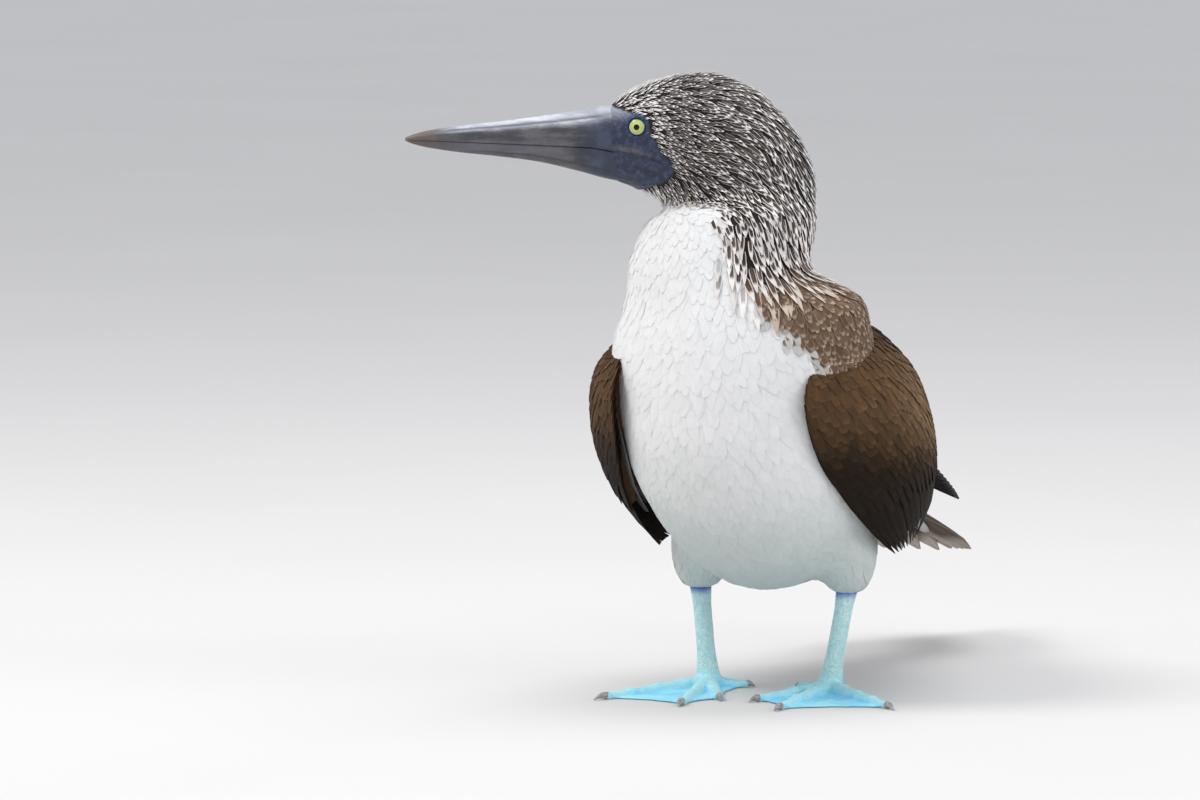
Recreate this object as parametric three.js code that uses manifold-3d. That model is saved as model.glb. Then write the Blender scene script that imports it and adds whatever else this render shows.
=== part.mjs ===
// A blue-footed booby standing on both feet, its head turned to its right: a still, life-size model.
// Millimetres, +Z up. The bird faces -Y and its left side is +X. Its own sizes are measured from a
// point on the floor midway between the ankles, and the last lines set the whole on its base centre.
import * as THREE from "three";
import { mergeVertices } from "three/addons/utils/BufferGeometryUtils.js";
import Module from "manifold-3d";

const wasm = await Module();
wasm.setup();

// Driving dimensions
const gap = 0.3; // between pieces that meet
const trunkRound = 24; // points round the trunk, neck and head
const trunkSteps = 24; // rings along the trunk and neck
const headSteps = 12; // rings along the head
const billSteps = 12; // rings along the bill
const billRound = 16; // points round the bill
const headTurn = 20; // degrees between the beak's line and the bird's own side-to-side axis
const neckAxisY = -41; // the neck stands here, and the head turns over it
const halfSpace = 900; // edge of the blocks that cut a piece in two
const cutWide = 60; // width of the blocks that cut the head and bill from side to side

// The trunk and neck from the tail root up into the head:
// centre X, Y, Z, half width, reach to the front or belly, reach to the back.
const trunkSections = [
  [0, 134, 97, 20, 10, 10],
  [0, 118, 101, 31, 20, 24],
  [0, 92, 107, 44, 32, 40],
  [0, 55, 117, 56, 60, 60],
  [0, 12, 129, 64, 82, 71],
  [-1, -25, 148, 68, 77, 70],
  [-2, -42, 178, 68, 58, 62],
  [1, -46, 202, 61.5, 46, 58],
  [-11.5, -46.5, 217, 48, 40, 40],
  [-9.5, -45, 231, 45.5, 37, 36],
  [-6.5, -44, 240, 44.5, 34, 34],
  [0.5, -42, 248, 37.5, 28, 31],
  [0, -41, 264, 30, 21, 21],
];

// The head along its own length, from the nape to the forehead:
// distance ahead of the neck axis, top, bottom, half width.
const headSections = [
  [-36, 263, 245, 7],
  [-32, 276, 238, 14],
  [-23, 291, 230, 20],
  [-8, 306.5, 228, 24],
  [8, 314.5, 230, 25],
  [21, 316.5, 236, 24.5],
  [36, 314.5, 246, 22],
  [49, 310.3, 255.5, 18.5],
  [60, 305, 259.5, 15],
  [67, 300.5, 262.5, 12.4],
];

// The bill, in the same measures.
const billSections = [
  [63, 300, 261.5, 11],
  [70, 299, 263, 10.6],
  [84, 296.3, 266.8, 9.4],
  [102, 293.8, 271, 8],
  [122, 291.2, 273.7, 6.5],
  [142, 289, 275.8, 5],
  [157, 286.8, 278, 3.6],
  [165, 284.7, 279.9, 2.3],
  [169, 283.1, 281.6, 0.9],
];
const gapeLine = [
  [60, 275.6],
  [66, 276.8],
  [76, 278.6],
  [90, 278.7],
  [172, 282],
];

const eye = {
  ahead: 53,
  height: 289.3,
  side: 12,
  radius: 6.4,
  turned: 0.14, // how far it looks ahead, as a slope
  lidRing: 5.5,
  lidThick: 1.35,
  lidRise: 3.9, // the lids stand this far out from the middle of the eye
  round: 14, // points round the eye and its lids
  rows: 9,
  lidRound: 6,
};
const mouthCrease = { from: 55, to: 69, height: 276.6, open: 1, depth: 2.4, round: 6 };
const underBill = 200; // the lower bill's cutting block reaches down to this height

// The planes that part the neck from the torso and the head from the neck.
const collar = { point: [0, neckAxisY, 212], tilt: [0, 0.12, 1] };
const nape = { ahead: 0, height: 252, rise: -0.2 };

// The folded wing as a net of places for the left side, from its front edge to its rear edge,
// each line running down the way the feathers lie, from the shoulder to the feather tips.
const wingNet = [
  [[47, -58, 183], [47, -82, 159], [49, -72, 131], [54, -46, 106], [57, -12, 86], [58, 20, 71]],
  [[50, -4, 189], [72, -8, 168], [79, 2, 143], [77, 22, 118], [68, 48, 95], [53, 78, 80]],
  [[30, 56, 178], [33, 84, 154], [31, 108, 136], [28, 132, 121], [24, 158, 109], [20, 188, 98]],
];
const wingCore = {
  across: 7, // steps from the front edge to the rear edge
  down: 5, // steps from the shoulder to the last share of the length that it reaches
  to: 0.68,
  thick: 17,
  thin: 3.2,
  thinnedDown: 0.9, // shares of the thickness lost down the wing and towards its rear edge
  thinnedRear: 0.45,
};
const slopeStep = 0.02; // share of the net over which its slope is taken
const wingSpread = { left: 0, right: 7 }; // the right wing is held a little farther out
const wingTiers = [
  // share of the wing's length at each feather's root and tip, how far the tip stands out, where
  // the first and last stand between the front and rear edges, and how far the tips stray
  { count: 7, root: 0.17, tip: 0.42, lift: 3.6, first: 0.08, last: 0.91, outline: "covert", stray: 0.03 },
  { count: 8, root: 0.36, tip: 0.67, lift: 3.4, first: 0.065, last: 0.95, outline: "covert", stray: 0.03 },
  { count: 10, root: 0.55, tip: 0.995, lift: 1.6, first: 0.045, last: 0.96, outline: "secondary", stray: 0 },
];
const vaneThick = 0.7;
const vaneOverlap = 1.3; // a vane's width as a multiple of the space between roots
const shaft = { thick: 1.3, rise: 0.2 }; // a vane's middle line: its thickness as a multiple, its height
const shingle = 0.9; // how far a vane's front edge stands over the one before it
const rootSunk = 1.8;
const rootShare = 0.4; // a vane has left its root by this share of its length
const rootLift = 0.45; // and has reached this share of the height of its tip
const rootStray = 0.25; // how far a root strays, as a share of the space between roots
const outlines = {
  // share of the length, share of the half width
  covert: [[0, 0.6], [0.45, 1], [0.8, 0.86], [1, 0.25]],
  secondary: [[0, 0.6], [0.45, 0.96], [0.85, 0.74], [1, 0.2]],
  flight: [[0, 0.45], [0.3, 0.95], [0.65, 1], [0.88, 0.78], [1, 0.18]],
};

// Primaries lie in a narrow bundle under the wing and run out over the tail root.
const primary = {
  count: 6,
  root: 0.26, // share of the bundle's line where the feathers start
  width: 16,
  stagger: 0.065, // each falls short of the next by this share of the line
  thick: 0.8,
  across: 2,
  stack: 1.45,
  depth: 3.5,
  narrowed: 0.55, // share of their sideways spread lost towards the tips
  tilt: [0.62, 0.78], // the way their upper faces look, outwards and up
};
const hand = { steps: 6, rings: 3, halfWidth: 8, round: 8 }; // what the primaries spring from
const primaryUnder = [[0.45, 0.46], [0.72, 0.62], [0.97, 0.82]];
const primaryOpen = [[17, 226, 90], [8, 286, 79]];

const tailRoot = { y: 112, z: 99, reach: 40, width: 21, tipWidth: 15, depth: 8, tipDepth: 1.6, rings: 5, round: 14 };
const rectrices = {
  pairs: 5,
  centre: 172, // lengths of the middle pair and of the outer pair
  outer: 106,
  width: 19,
  thick: 1,
  spread: 12,
  slope: -17,
  rootAt: 10, // roots stand this far behind the tail root's front, and this far to each side
  aside: 4,
  asideStep: 2.2,
  lift: 5,
  stack: 1.3,
  droop: 5,
};
const tailCoverts = {
  count: 3,
  length: 58,
  width: 19,
  spread: 9,
  rootAt: 8,
  across: 20,
  lift: 8,
  fall: 2, // the outer ones lie this much lower for each unit of their distance off the middle
  lean: 1.2,
};

const legShift = { thigh: -1.6, ankle: -4.9, y: 12 }; // the legs stand this far off the middle
const ankle = { x: 32.2, z: 9 };
const tarsusTop = { x: 39.6, y: -2, z: 54 };
const thighSections = [
  // height, distance out from the middle, place fore and aft, half width, half depth
  [108, 33, 2, 19, 26],
  [88, 35.5, 0, 20, 27],
  [70, 37.5, -2, 18.5, 22],
  [58, 39, -2, 14.5, 16],
  [50, 39.6, -2, 9, 10],
];
const tarsus = {
  halfWidth: 4.8,
  halfDepth: 6,
  foot: 7.2, // half width where it meets the foot
  footDeeper: 0.6,
  rings: 7,
  round: 12,
  swellFrom: 0.6, // shares of its length where it starts to swell and where the knee ends
  kneeTo: 0.25,
  knee: 5,
};
const thighRound = 16;
const toeShape = { root: 4.6, tip: 2.1, steps: 7, round: 8, knuckle: 0.45, knuckleEvery: 3, raised: 0.72 };
const webShape = { thick: 1.7, short: 3, heel: 3, drawn: 0.12, drawnBehind: 0.3, curve: 5 };
const clawShape = { long: 8.5, radius: 1.75, tip: 0.35, droop: 0.9, steps: 4, round: 6 };
const feet = {
  // degrees that each toe points away from straight ahead, outwards, and its length
  left: { outer: [42, 73], middle: [0, 77], inner: [-23, 54], hind: [-112, 20] },
  right: { outer: [26, 73], middle: [-9, 77], inner: [-25, 54], hind: [-110, 20] },
};

const finish = (color, roughness) =>
  new THREE.MeshStandardMaterial({ color, roughness, metalness: 0 });
const materials = {
  breast: finish(0xf0eeea, 0.9),
  neck: finish(0xb9a58f, 0.9),
  head: finish(0xc3b09a, 0.9),
  wing: finish(0x5d4a3d, 0.85),
  tail: finish(0x8b7767, 0.85),
  thigh: finish(0xf2f1ee, 0.9),
  bill: finish(0x7b8894, 0.45),
  iris: finish(0xe2d77f, 0.1),
  leg: finish(0x7fc3cc, 0.6),
  foot: finish(0x4fb2d0, 0.6),
  claw: finish(0xb7b9b4, 0.4),
};

// Vector and number helpers
const vec = (x, y, z) => new THREE.Vector3(x, y, z);
const zAxis = vec(0, 0, 1);
const mix = (a, b, t) => a + (b - a) * t;
const radians = THREE.MathUtils.degToRad;

// Numbers that look random and are the same each time.
function seeded(seed) {
  let state = seed;
  return () => {
    state = (state * 16807) % 2147483647;
    return state / 2147483647;
  };
}

// A smooth value between rows of numbers, for f from 0 at the first row to 1 at the last.
function between(rows, f) {
  const last = rows.length - 1;
  const k = Math.min(Math.floor(f * last), last - 1);
  const t = f * last - k;
  const row = (i) => rows[Math.min(Math.max(i, 0), last)];
  const [a, b, c, d] = [row(k - 1), row(k), row(k + 1), row(k + 2)];
  return b.map((here, j) => {
    const slope = c[j] - a[j];
    const curve = 2 * a[j] - 5 * here + 4 * c[j] - d[j];
    const twist = 3 * here - a[j] - 3 * c[j] + d[j];
    return 0.5 * (2 * here + slope * t + curve * t * t + twist * t * t * t);
  });
}

const evenly = (rows, steps) =>
  Array.from({ length: steps + 1 }, (_, i) => between(rows, i / steps));

// Closed surfaces and solids
function solidFrom(points, faces) {
  const build = (list) =>
    new wasm.Manifold(
      new wasm.Mesh({
        numProp: 3,
        vertProperties: new Float32Array(points.flatMap((p) => [p.x, p.y, p.z])),
        triVerts: new Uint32Array(list.flat()),
      }),
    );
  const made = build(faces);
  return made.volume() < 0 ? build(faces.map(([a, b, c]) => [a, c, b])) : made;
}

function solidOf(geometry) {
  geometry.deleteAttribute("normal");
  geometry.deleteAttribute("uv");
  const merged = mergeVertices(geometry, 1e-4);
  const place = merged.attributes.position;
  const points = Array.from({ length: place.count }, (_, i) =>
    vec().fromBufferAttribute(place, i),
  );
  const faces = [];
  for (let i = 0; i < merged.index.count; i += 3)
    faces.push([0, 1, 2].map((k) => merged.index.getX(i + k)));
  return solidFrom(points, faces);
}

// Rings of equal count joined into one closed skin, each end closed to its middle.
function loft(rings) {
  const n = rings[0].length;
  const points = rings.flat();
  const faces = [];
  for (let r = 0; r + 1 < rings.length; r++)
    for (let k = 0; k < n; k++) {
      const a = r * n + k;
      const b = r * n + ((k + 1) % n);
      faces.push([a, b, b + n], [a, b + n, a + n]);
    }
  const close = (ring, start, turned) => {
    const middle = points.length;
    points.push(ring.reduce((sum, p) => sum.add(p), vec(0, 0, 0)).divideScalar(n));
    for (let k = 0; k < n; k++) {
      const a = start + k;
      const b = start + ((k + 1) % n);
      faces.push(turned ? [middle, b, a] : [middle, a, b]);
    }
  };
  close(rings[0], 0, true);
  close(rings[rings.length - 1], (rings.length - 1) * n, false);
  return solidFrom(points, faces);
}

// A ring round a centre: half width along `side`, and one reach each way along `front`.
function ring(centre, side, front, halfWidth, ahead, behind, count) {
  return Array.from({ length: count }, (_, k) => {
    const angle = (2 * Math.PI * k) / count;
    const out = Math.sin(angle);
    return centre
      .clone()
      .addScaledVector(side, Math.cos(angle) * halfWidth)
      .addScaledVector(front, out * (out > 0 ? ahead : behind));
  });
}

const joined = (solids) => solids.reduce((all, one) => all.add(one));

function largest(solid) {
  return solid.decompose().reduce((best, one) => (one.volume() > best.volume() ? one : best));
}

// All of space on the side of a plane that its normal points to.
function above(point, normal) {
  const block = new THREE.BoxGeometry(halfSpace, halfSpace, halfSpace);
  block.translate(0, 0, halfSpace / 2);
  const turn = new THREE.Quaternion().setFromUnitVectors(zAxis, normal.clone().normalize());
  block.applyQuaternion(turn);
  block.translate(point.x, point.y, point.z);
  return solidOf(block);
}

const floorUp = above(vec(0, 0, 0), zAxis);

// Trunk and neck in one skin, grown by `extra` all round
function trunk(extra) {
  const rows = evenly(trunkSections, trunkSteps);
  const rings = rows.map((row, i) => {
    const next = rows[Math.min(i + 1, trunkSteps)];
    const before = rows[Math.max(i - 1, 0)];
    const along = vec(0, next[1] - before[1], next[2] - before[2]).normalize();
    const front = vec(0, -along.z, along.y);
    const [x, y, z, halfWidth, ahead, behind] = row;
    const end = i === 0 ? -extra : i === trunkSteps ? extra : 0;
    const centre = vec(x, y, z).addScaledVector(along, end);
    const across = vec(1, 0, 0);
    return ring(centre, across, front, halfWidth + extra, ahead + extra, behind + extra, trunkRound);
  });
  return loft(rings);
}

// Head
const beakLine = vec(-Math.cos(radians(headTurn)), -Math.sin(radians(headTurn)), 0);
const headSide = zAxis.clone().cross(beakLine); // towards the head's own left
const headPoint = (ahead, side, height) =>
  vec(0, neckAxisY, height).addScaledVector(beakLine, ahead).addScaledVector(headSide, side);

// A skin over rows of distance ahead, top, bottom and half width, grown by `extra`.
function alongHead(sections, steps, count, extra) {
  const rings = evenly(sections, steps).map(([ahead, top, bottom, halfWidth], i) => {
    const end = i === 0 ? -extra : i === steps ? extra : 0;
    const reach = (top - bottom) / 2 + extra;
    const centre = headPoint(ahead + end, 0, (top + bottom) / 2);
    return ring(centre, headSide, zAxis, halfWidth + extra, reach, reach, count);
  });
  return loft(rings);
}

// Everything below the line of the mouth, as a block with the gape's line for its top.
function belowGape(rise) {
  const outline = new THREE.Shape();
  gapeLine.forEach(([ahead, height], i) =>
    i ? outline.lineTo(ahead, height + rise) : outline.moveTo(ahead, height + rise),
  );
  outline.lineTo(gapeLine.at(-1)[0], underBill);
  outline.lineTo(gapeLine[0][0], underBill);
  const block = new THREE.ExtrudeGeometry(outline, { depth: cutWide, bevelEnabled: false });
  block.translate(0, 0, -cutWide / 2);
  const place = new THREE.Matrix4().makeBasis(beakLine, zAxis, beakLine.clone().cross(zAxis));
  place.setPosition(0, neckAxisY, 0);
  block.applyMatrix4(place);
  return solidOf(block);
}

const eyeCentre = (side) => headPoint(eye.ahead, side * eye.side, eye.height);

function eyeball(side, extra) {
  const ball = new THREE.SphereGeometry(eye.radius + extra, eye.round, eye.rows);
  const { x, y, z } = eyeCentre(side);
  ball.translate(x, y, z);
  return solidOf(ball);
}

// The ring of the lids round an eye, standing a little proud of the face.
function lids(side) {
  const lidRing = new THREE.TorusGeometry(eye.lidRing, eye.lidThick, eye.lidRound, eye.round);
  const out = headSide.clone().multiplyScalar(side).addScaledVector(beakLine, eye.turned).normalize();
  lidRing.applyQuaternion(new THREE.Quaternion().setFromUnitVectors(zAxis, out));
  const { x, y, z } = eyeCentre(side).addScaledVector(out, eye.lidRise);
  lidRing.translate(x, y, z);
  return solidOf(lidRing);
}

// The crease that carries the line of the mouth back from the bill under the eye.
function creaseBlock() {
  const { from, to, height, open, round } = mouthCrease;
  const wedge = new THREE.CylinderGeometry(open / 2, open / 2, cutWide, round);
  const place = new THREE.Matrix4().makeBasis(beakLine, headSide, zAxis.clone().negate());
  place.setPosition(headPoint((from + to) / 2, 0, height));
  wedge.scale((to - from) / open, 1, 1);
  wedge.applyMatrix4(place);
  return solidOf(wedge);
}

// The bill and the head's inside, which the crease leaves whole.
function headCore() {
  const narrowed = headSections.map(([ahead, top, bottom, halfWidth]) => [
    ahead,
    top,
    bottom,
    halfWidth - mouthCrease.depth,
  ]);
  return alongHead(narrowed, headSteps, trunkRound, 0);
}

// Wing: a place on its outer face, `front` 0 to 1 from its front edge, `down` 0 at the shoulder
function wingPlace(side, front, down) {
  const [a, b, c] = wingNet.map((line) => between(line, down));
  const f = front;
  const weights = [2 * (f - 0.5) * (f - 1), -4 * f * (f - 1), 2 * f * (f - 0.5)];
  const at = a.map((_, j) => a[j] * weights[0] + b[j] * weights[1] + c[j] * weights[2]);
  const spread = side > 0 ? wingSpread.left : wingSpread.right;
  return vec(side * (at[0] + spread), at[1], at[2]);
}

function wingOut(side, front, down) {
  const step = slopeStep;
  const low = Math.min(down, 1 - step);
  const rear = Math.min(front, 1 - step);
  const alongFront = wingPlace(side, rear + step, low).sub(wingPlace(side, rear, low));
  const alongDown = wingPlace(side, rear, low + step).sub(wingPlace(side, rear, low));
  return alongDown.cross(alongFront).multiplyScalar(side).normalize();
}

// The arm and the body of the wing: thick at the shoulder and front, thin behind.
function wingBody(side) {
  const { across, down, to, thick, thin, thinnedDown, thinnedRear } = wingCore;
  const outer = [];
  const inner = [];
  for (let i = 0; i <= across; i++)
    for (let j = 0; j <= down; j++) {
      const front = i / across;
      const low = to * (j / down);
      const bulk = (1 - thinnedDown * (j / down)) * (1 - thinnedRear * front);
      const out = wingOut(side, front, low);
      const place = wingPlace(side, front, low);
      outer.push(place);
      inner.push(place.clone().addScaledVector(out, -mix(thin, thick, bulk)));
    }
  const row = down + 1;
  const count = outer.length;
  const faces = [];
  const sheet = (a, b, c, d) => {
    faces.push([a, b, c], [a, c, d]);
    faces.push([a + count, c + count, b + count], [a + count, d + count, c + count]);
  };
  for (let i = 0; i < across; i++)
    for (let j = 0; j < down; j++)
      sheet(i * row + j, (i + 1) * row + j, (i + 1) * row + j + 1, i * row + j + 1);
  const wall = (a, b) => faces.push([b, a, a + count], [b, a + count, b + count]);
  for (let i = 0; i < across; i++) {
    wall(i * row, (i + 1) * row);
    wall((i + 1) * row + down, i * row + down);
  }
  for (let j = 0; j < down; j++) {
    wall(j + 1, j);
    wall(across * row + j, across * row + j + 1);
  }
  return solidFrom([...outer, ...inner], faces);
}

// A feather's vane: `spot` gives the place and the outward direction at a share of its length, and
// at a share of its half width to either side. Its two faces carry the same triangles, and `lean`
// raises one edge over the other.
function vane(spot, outline, thick, lean) {
  const top = [];
  const under = [];
  for (const [share, wide] of outline)
    for (const k of [-1, 0, 1]) {
      const { at, out } = spot(share, k * wide);
      const half = (thick / 2) * (k ? 1 : shaft.thick);
      const rise = k * lean + (k ? 0 : shaft.rise);
      top.push(at.clone().addScaledVector(out, rise + half));
      under.push(at.clone().addScaledVector(out, rise - half));
    }
  const count = top.length;
  const last = outline.length - 1;
  const faces = [];
  for (let r = 0; r < last; r++)
    for (let k = 0; k < 2; k++) {
      const [a, b, c, d] = [r * 3 + k, r * 3 + k + 1, r * 3 + k + 4, r * 3 + k + 3];
      faces.push([a, b, c], [a, c, d]);
      faces.push([a + count, c + count, b + count], [a + count, d + count, c + count]);
    }
  const wall = (a, b) => faces.push([b, a, a + count], [b, a + count, b + count]);
  for (let r = 0; r < last; r++) {
    wall(r * 3 + 3, r * 3);
    wall(r * 3 + 2, r * 3 + 5);
  }
  for (let k = 0; k < 2; k++) {
    wall(k, k + 1);
    wall(last * 3 + k + 1, last * 3 + k);
  }
  return solidFrom([...top, ...under], faces);
}

// One tier of feathers laid on the wing's outer face, each a little over the one in front.
function wingTier(side, tier, draw) {
  const { count, root, tip, lift, first, last, outline, stray } = tier;
  const space = (last - first) / (count - 1);
  return Array.from({ length: count }, (_, i) => {
    const front = first + space * (i + rootStray * (draw() - 0.5));
    const reach = tip + (stray ? stray * (draw() - 0.5) : 0);
    const spot = (share, aside) => {
      const across = Math.min(Math.max(front - aside * space * vaneOverlap * 0.5, 0), 1);
      const down = mix(root, reach, share);
      const out = wingOut(side, across, down);
      const freed = lift * rootLift;
      const high =
        share < rootShare
          ? mix(-rootSunk, freed, share / rootShare)
          : mix(freed, lift, (share - rootShare) / (1 - rootShare));
      return { at: wingPlace(side, across, down).addScaledVector(out, high), out };
    };
    return vane(spot, outlines[outline], vaneThick, shingle);
  });
}

// The line that the bundle of primaries follows, from under the wing to beyond the tail root.
function primaryLine(side) {
  const under = primaryUnder.map(([front, down]) =>
    wingPlace(side, front, down).addScaledVector(wingOut(side, front, down), -primary.depth),
  );
  const open = primaryOpen.map(([x, y, z]) => vec(side * x, y, z));
  return [...under, ...open].map((p) => p.toArray());
}

function primaries(side) {
  const line = primaryLine(side);
  const [outwards, upwards] = primary.tilt;
  const face = vec(side * outwards, 0, upwards).normalize();
  const across = vec(side * upwards, 0, -outwards).normalize();
  const { thick, stack, count } = primary;
  const handDepth = ((count - 1) * stack) / 2 + thick;
  const handRings = evenly(line, hand.steps)
    .slice(0, hand.rings)
    .map((p) => ring(vec(...p), across, face, hand.halfWidth, handDepth, handDepth, hand.round));
  const feathers = Array.from({ length: count }, (_, i) => {
    const reach = 1 - primary.stagger * (count - 1 - i);
    const fromMiddle = i - (count - 1) / 2;
    const spot = (share, aside) => {
      const at = vec(...between(line, mix(primary.root, reach, share)));
      const spread = fromMiddle * primary.across * (1 - primary.narrowed * share);
      const beside = spread + (aside * primary.width) / 2;
      at.addScaledVector(across, beside).addScaledVector(face, -fromMiddle * stack);
      return { at, out: face };
    };
    return vane(spot, outlines.flight, thick, 0);
  });
  return joined([loft(handRings), ...feathers]);
}

function wing(side) {
  const draw = seeded(side > 0 ? 71 : 83);
  const tiers = wingTiers.flatMap((tier) => wingTier(side, tier, draw));
  const whole = joined([wingBody(side), primaries(side), ...tiers]);
  return largest(whole.subtract(trunk(gap)));
}

// Tail: feathers fanned from one root, the middle pair longest and on top
function tail() {
  const { y, z, reach, width, tipWidth, depth, tipDepth, rings, round } = tailRoot;
  const slope = Math.tan(radians(rectrices.slope));
  const up = vec(0, -slope, 1).normalize();
  const mound = Array.from({ length: rings }, (_, i) => {
    const share = i / (rings - 1);
    const centre = vec(0, y + reach * share, z + reach * share * slope);
    const thick = mix(depth, tipDepth, share);
    return ring(centre, vec(1, 0, 0), up, mix(width, tipWidth, share), thick, thick, round);
  });
  const fan = (degrees, length, offset, rootAt, lift, wide) => {
    const heading = vec(Math.sin(radians(degrees)), Math.cos(radians(degrees)), slope).normalize();
    const across = vec(heading.y, -heading.x, 0).normalize();
    return (share, aside) => {
      const at = vec(offset, y + rootAt, z + rootAt * slope + lift - rectrices.droop * share * share);
      at.addScaledVector(heading, length * share).addScaledVector(across, (aside * wide) / 2);
      return { at, out: up };
    };
  };
  const feathers = [];
  const { pairs, centre, outer, spread, rootAt, aside, asideStep } = rectrices;
  for (let pair = 0; pair < pairs; pair++)
    for (const side of [1, -1]) {
      const share = pair / (pairs - 1);
      const length = mix(centre, outer, share);
      const lift = rectrices.lift - rectrices.stack * (2 * pair + (side < 0 ? 1 : 0));
      const offset = side * (aside + asideStep * pair);
      const spot = fan(side * spread * share, length, offset, rootAt, lift, rectrices.width);
      feathers.push(vane(spot, outlines.flight, rectrices.thick, 0));
    }
  const cover = tailCoverts;
  for (let i = 0; i < cover.count; i++) {
    const off = i / (cover.count - 1) - 0.5;
    const lift = cover.lift - cover.fall * Math.abs(off);
    const spot = fan(off * 2 * cover.spread, cover.length, off * cover.across, cover.rootAt, lift, cover.width);
    feathers.push(vane(spot, outlines.covert, vaneThick, off * cover.lean));
  }
  return largest(joined([loft(mound), ...feathers]).subtract(trunk(gap)));
}

// Legs
function thigh(side, extra) {
  const rings = thighSections.map(([z, x, y, halfWidth, halfDepth], i) => {
    const end = i === thighSections.length - 1 ? -extra : 0;
    const centre = vec(side * x + legShift.thigh, y + legShift.y, z + end);
    const depth = halfDepth + extra;
    return ring(centre, vec(1, 0, 0), vec(0, 1, 0), halfWidth + extra, depth, depth, thighRound);
  });
  return loft(rings);
}

function shankWhole(side) {
  const topX = side * tarsusTop.x + legShift.thigh;
  const top = vec(topX, tarsusTop.y + legShift.y, tarsusTop.z);
  const foot = anklePoint(side, 1);
  const rings = Array.from({ length: tarsus.rings }, (_, i) => {
    const share = i / (tarsus.rings - 1);
    const swell = Math.max(0, share - tarsus.swellFrom) / (1 - tarsus.swellFrom);
    const knee = Math.max(0, tarsus.kneeTo - share) * tarsus.knee;
    const halfWidth = mix(tarsus.halfWidth, tarsus.foot, swell * swell) + knee;
    const halfDepth = mix(tarsus.halfDepth, tarsus.foot + tarsus.footDeeper, swell * swell) + knee;
    const centre = top.clone().lerp(foot, share);
    return ring(centre, vec(1, 0, 0), vec(0, 1, 0), halfWidth, halfDepth, halfDepth, tarsus.round);
  });
  return loft(rings);
}

const anklePoint = (side, height) => vec(side * ankle.x + legShift.ankle, legShift.y, height);

const toeHeading = (side, degrees) =>
  vec(side * Math.sin(radians(degrees)), -Math.cos(radians(degrees)), 0);

function toe(side, [degrees, length]) {
  const heading = toeHeading(side, degrees);
  const across = heading.clone().cross(zAxis);
  const { root, tip, steps, round, knuckle, knuckleEvery, raised } = toeShape;
  const rings = Array.from({ length: steps + 1 }, (_, i) => {
    const share = i / steps;
    const swell = (i + 1) % knuckleEvery === 0 ? knuckle : 0;
    const radius = mix(root, tip, share) + swell;
    const centre = anklePoint(side, radius * raised).addScaledVector(heading, share * length);
    return ring(centre, across, zAxis, radius, radius, radius, round);
  });
  return loft(rings);
}

// The web between the four toes, drawn in a little along its free edges.
function web(side, toes) {
  const tip = ([degrees, length]) => {
    const at = anklePoint(side, 0).addScaledVector(toeHeading(side, degrees), length - webShape.short);
    return [at.x, at.y];
  };
  const heel = anklePoint(side, 0);
  const outline = new THREE.Shape();
  const corners = [toes.outer, toes.middle, toes.inner, toes.hind].map(tip);
  outline.moveTo(heel.x + side * webShape.heel, heel.y + webShape.heel);
  outline.lineTo(...corners[0]);
  for (let i = 1; i < corners.length; i++) {
    const middle = [0, 1].map((k) => (corners[i - 1][k] + corners[i][k]) / 2);
    const pull = i === corners.length - 1 ? webShape.drawnBehind : webShape.drawn;
    const drawn = [mix(middle[0], heel.x, pull), mix(middle[1], heel.y, pull)];
    outline.quadraticCurveTo(...drawn, ...corners[i]);
  }
  const sheet = { depth: webShape.thick, bevelEnabled: false, curveSegments: webShape.curve };
  return solidOf(new THREE.ExtrudeGeometry(outline, sheet));
}

function claw(side, [degrees, length]) {
  const { steps, round, tip, droop } = clawShape;
  const long = clawShape.long * Math.sqrt(length / feet.left.middle[1]);
  const heading = toeHeading(side, degrees);
  const across = heading.clone().cross(zAxis);
  const rings = Array.from({ length: steps + 1 }, (_, i) => {
    const share = i / steps;
    const radius = mix(clawShape.radius, tip, share * share);
    const height = mix(toeShape.tip, radius + tip, share) + droop * share * (1 - share);
    const centre = anklePoint(side, height);
    centre.addScaledVector(heading, length + gap + share * long);
    return ring(centre, across, zAxis, radius, radius, radius, round);
  });
  return loft(rings);
}

// The bird, piece by piece
const booby = new THREE.Group();
booby.name = "blue_footed_booby";

// One piece as a mesh placed by its own middle.
function addPiece(parent, name, solid, material) {
  const mesh = solid.getMesh();
  const count = mesh.vertProperties.length / mesh.numProp;
  const places = new Float32Array(count * 3);
  for (let i = 0; i < count; i++)
    places.set(mesh.vertProperties.subarray(i * mesh.numProp, i * mesh.numProp + 3), i * 3);
  const geometry = new THREE.BufferGeometry();
  geometry.setAttribute("position", new THREE.BufferAttribute(places, 3));
  geometry.setIndex(new THREE.BufferAttribute(mesh.triVerts, 1));
  geometry.computeBoundingBox();
  const middle = geometry.boundingBox.getCenter(vec());
  geometry.translate(-middle.x, -middle.y, -middle.z);
  geometry.computeVertexNormals();
  const piece = new THREE.Mesh(geometry, material);
  piece.name = name;
  piece.position.copy(middle);
  parent.add(piece);
}

const bodyGroup = new THREE.Group();
const headGroup = new THREE.Group();
booby.add(bodyGroup, headGroup);

const skull = alongHead(headSections, headSteps, trunkRound, 0);
const face = skull.subtract(creaseBlock().subtract(headCore()));
const fleshed = joined([trunk(0), face, lids(1), lids(-1)]);
const collarPoint = vec(...collar.point);
const collarUp = vec(...collar.tilt).normalize();
const napePoint = headPoint(nape.ahead, 0, nape.height);
const napeUp = zAxis.clone().addScaledVector(beakLine, -nape.rise).normalize();
const halfGap = gap / 2;
const raised = (point, up, by) => point.clone().addScaledVector(up, by);
const fromCollar = above(raised(collarPoint, collarUp, halfGap), collarUp);
const fromNape = above(raised(napePoint, napeUp, halfGap), napeUp);
const pastCollar = above(raised(collarPoint, collarUp, -halfGap), collarUp);
const pastNape = above(raised(napePoint, napeUp, -halfGap), napeUp);

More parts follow.
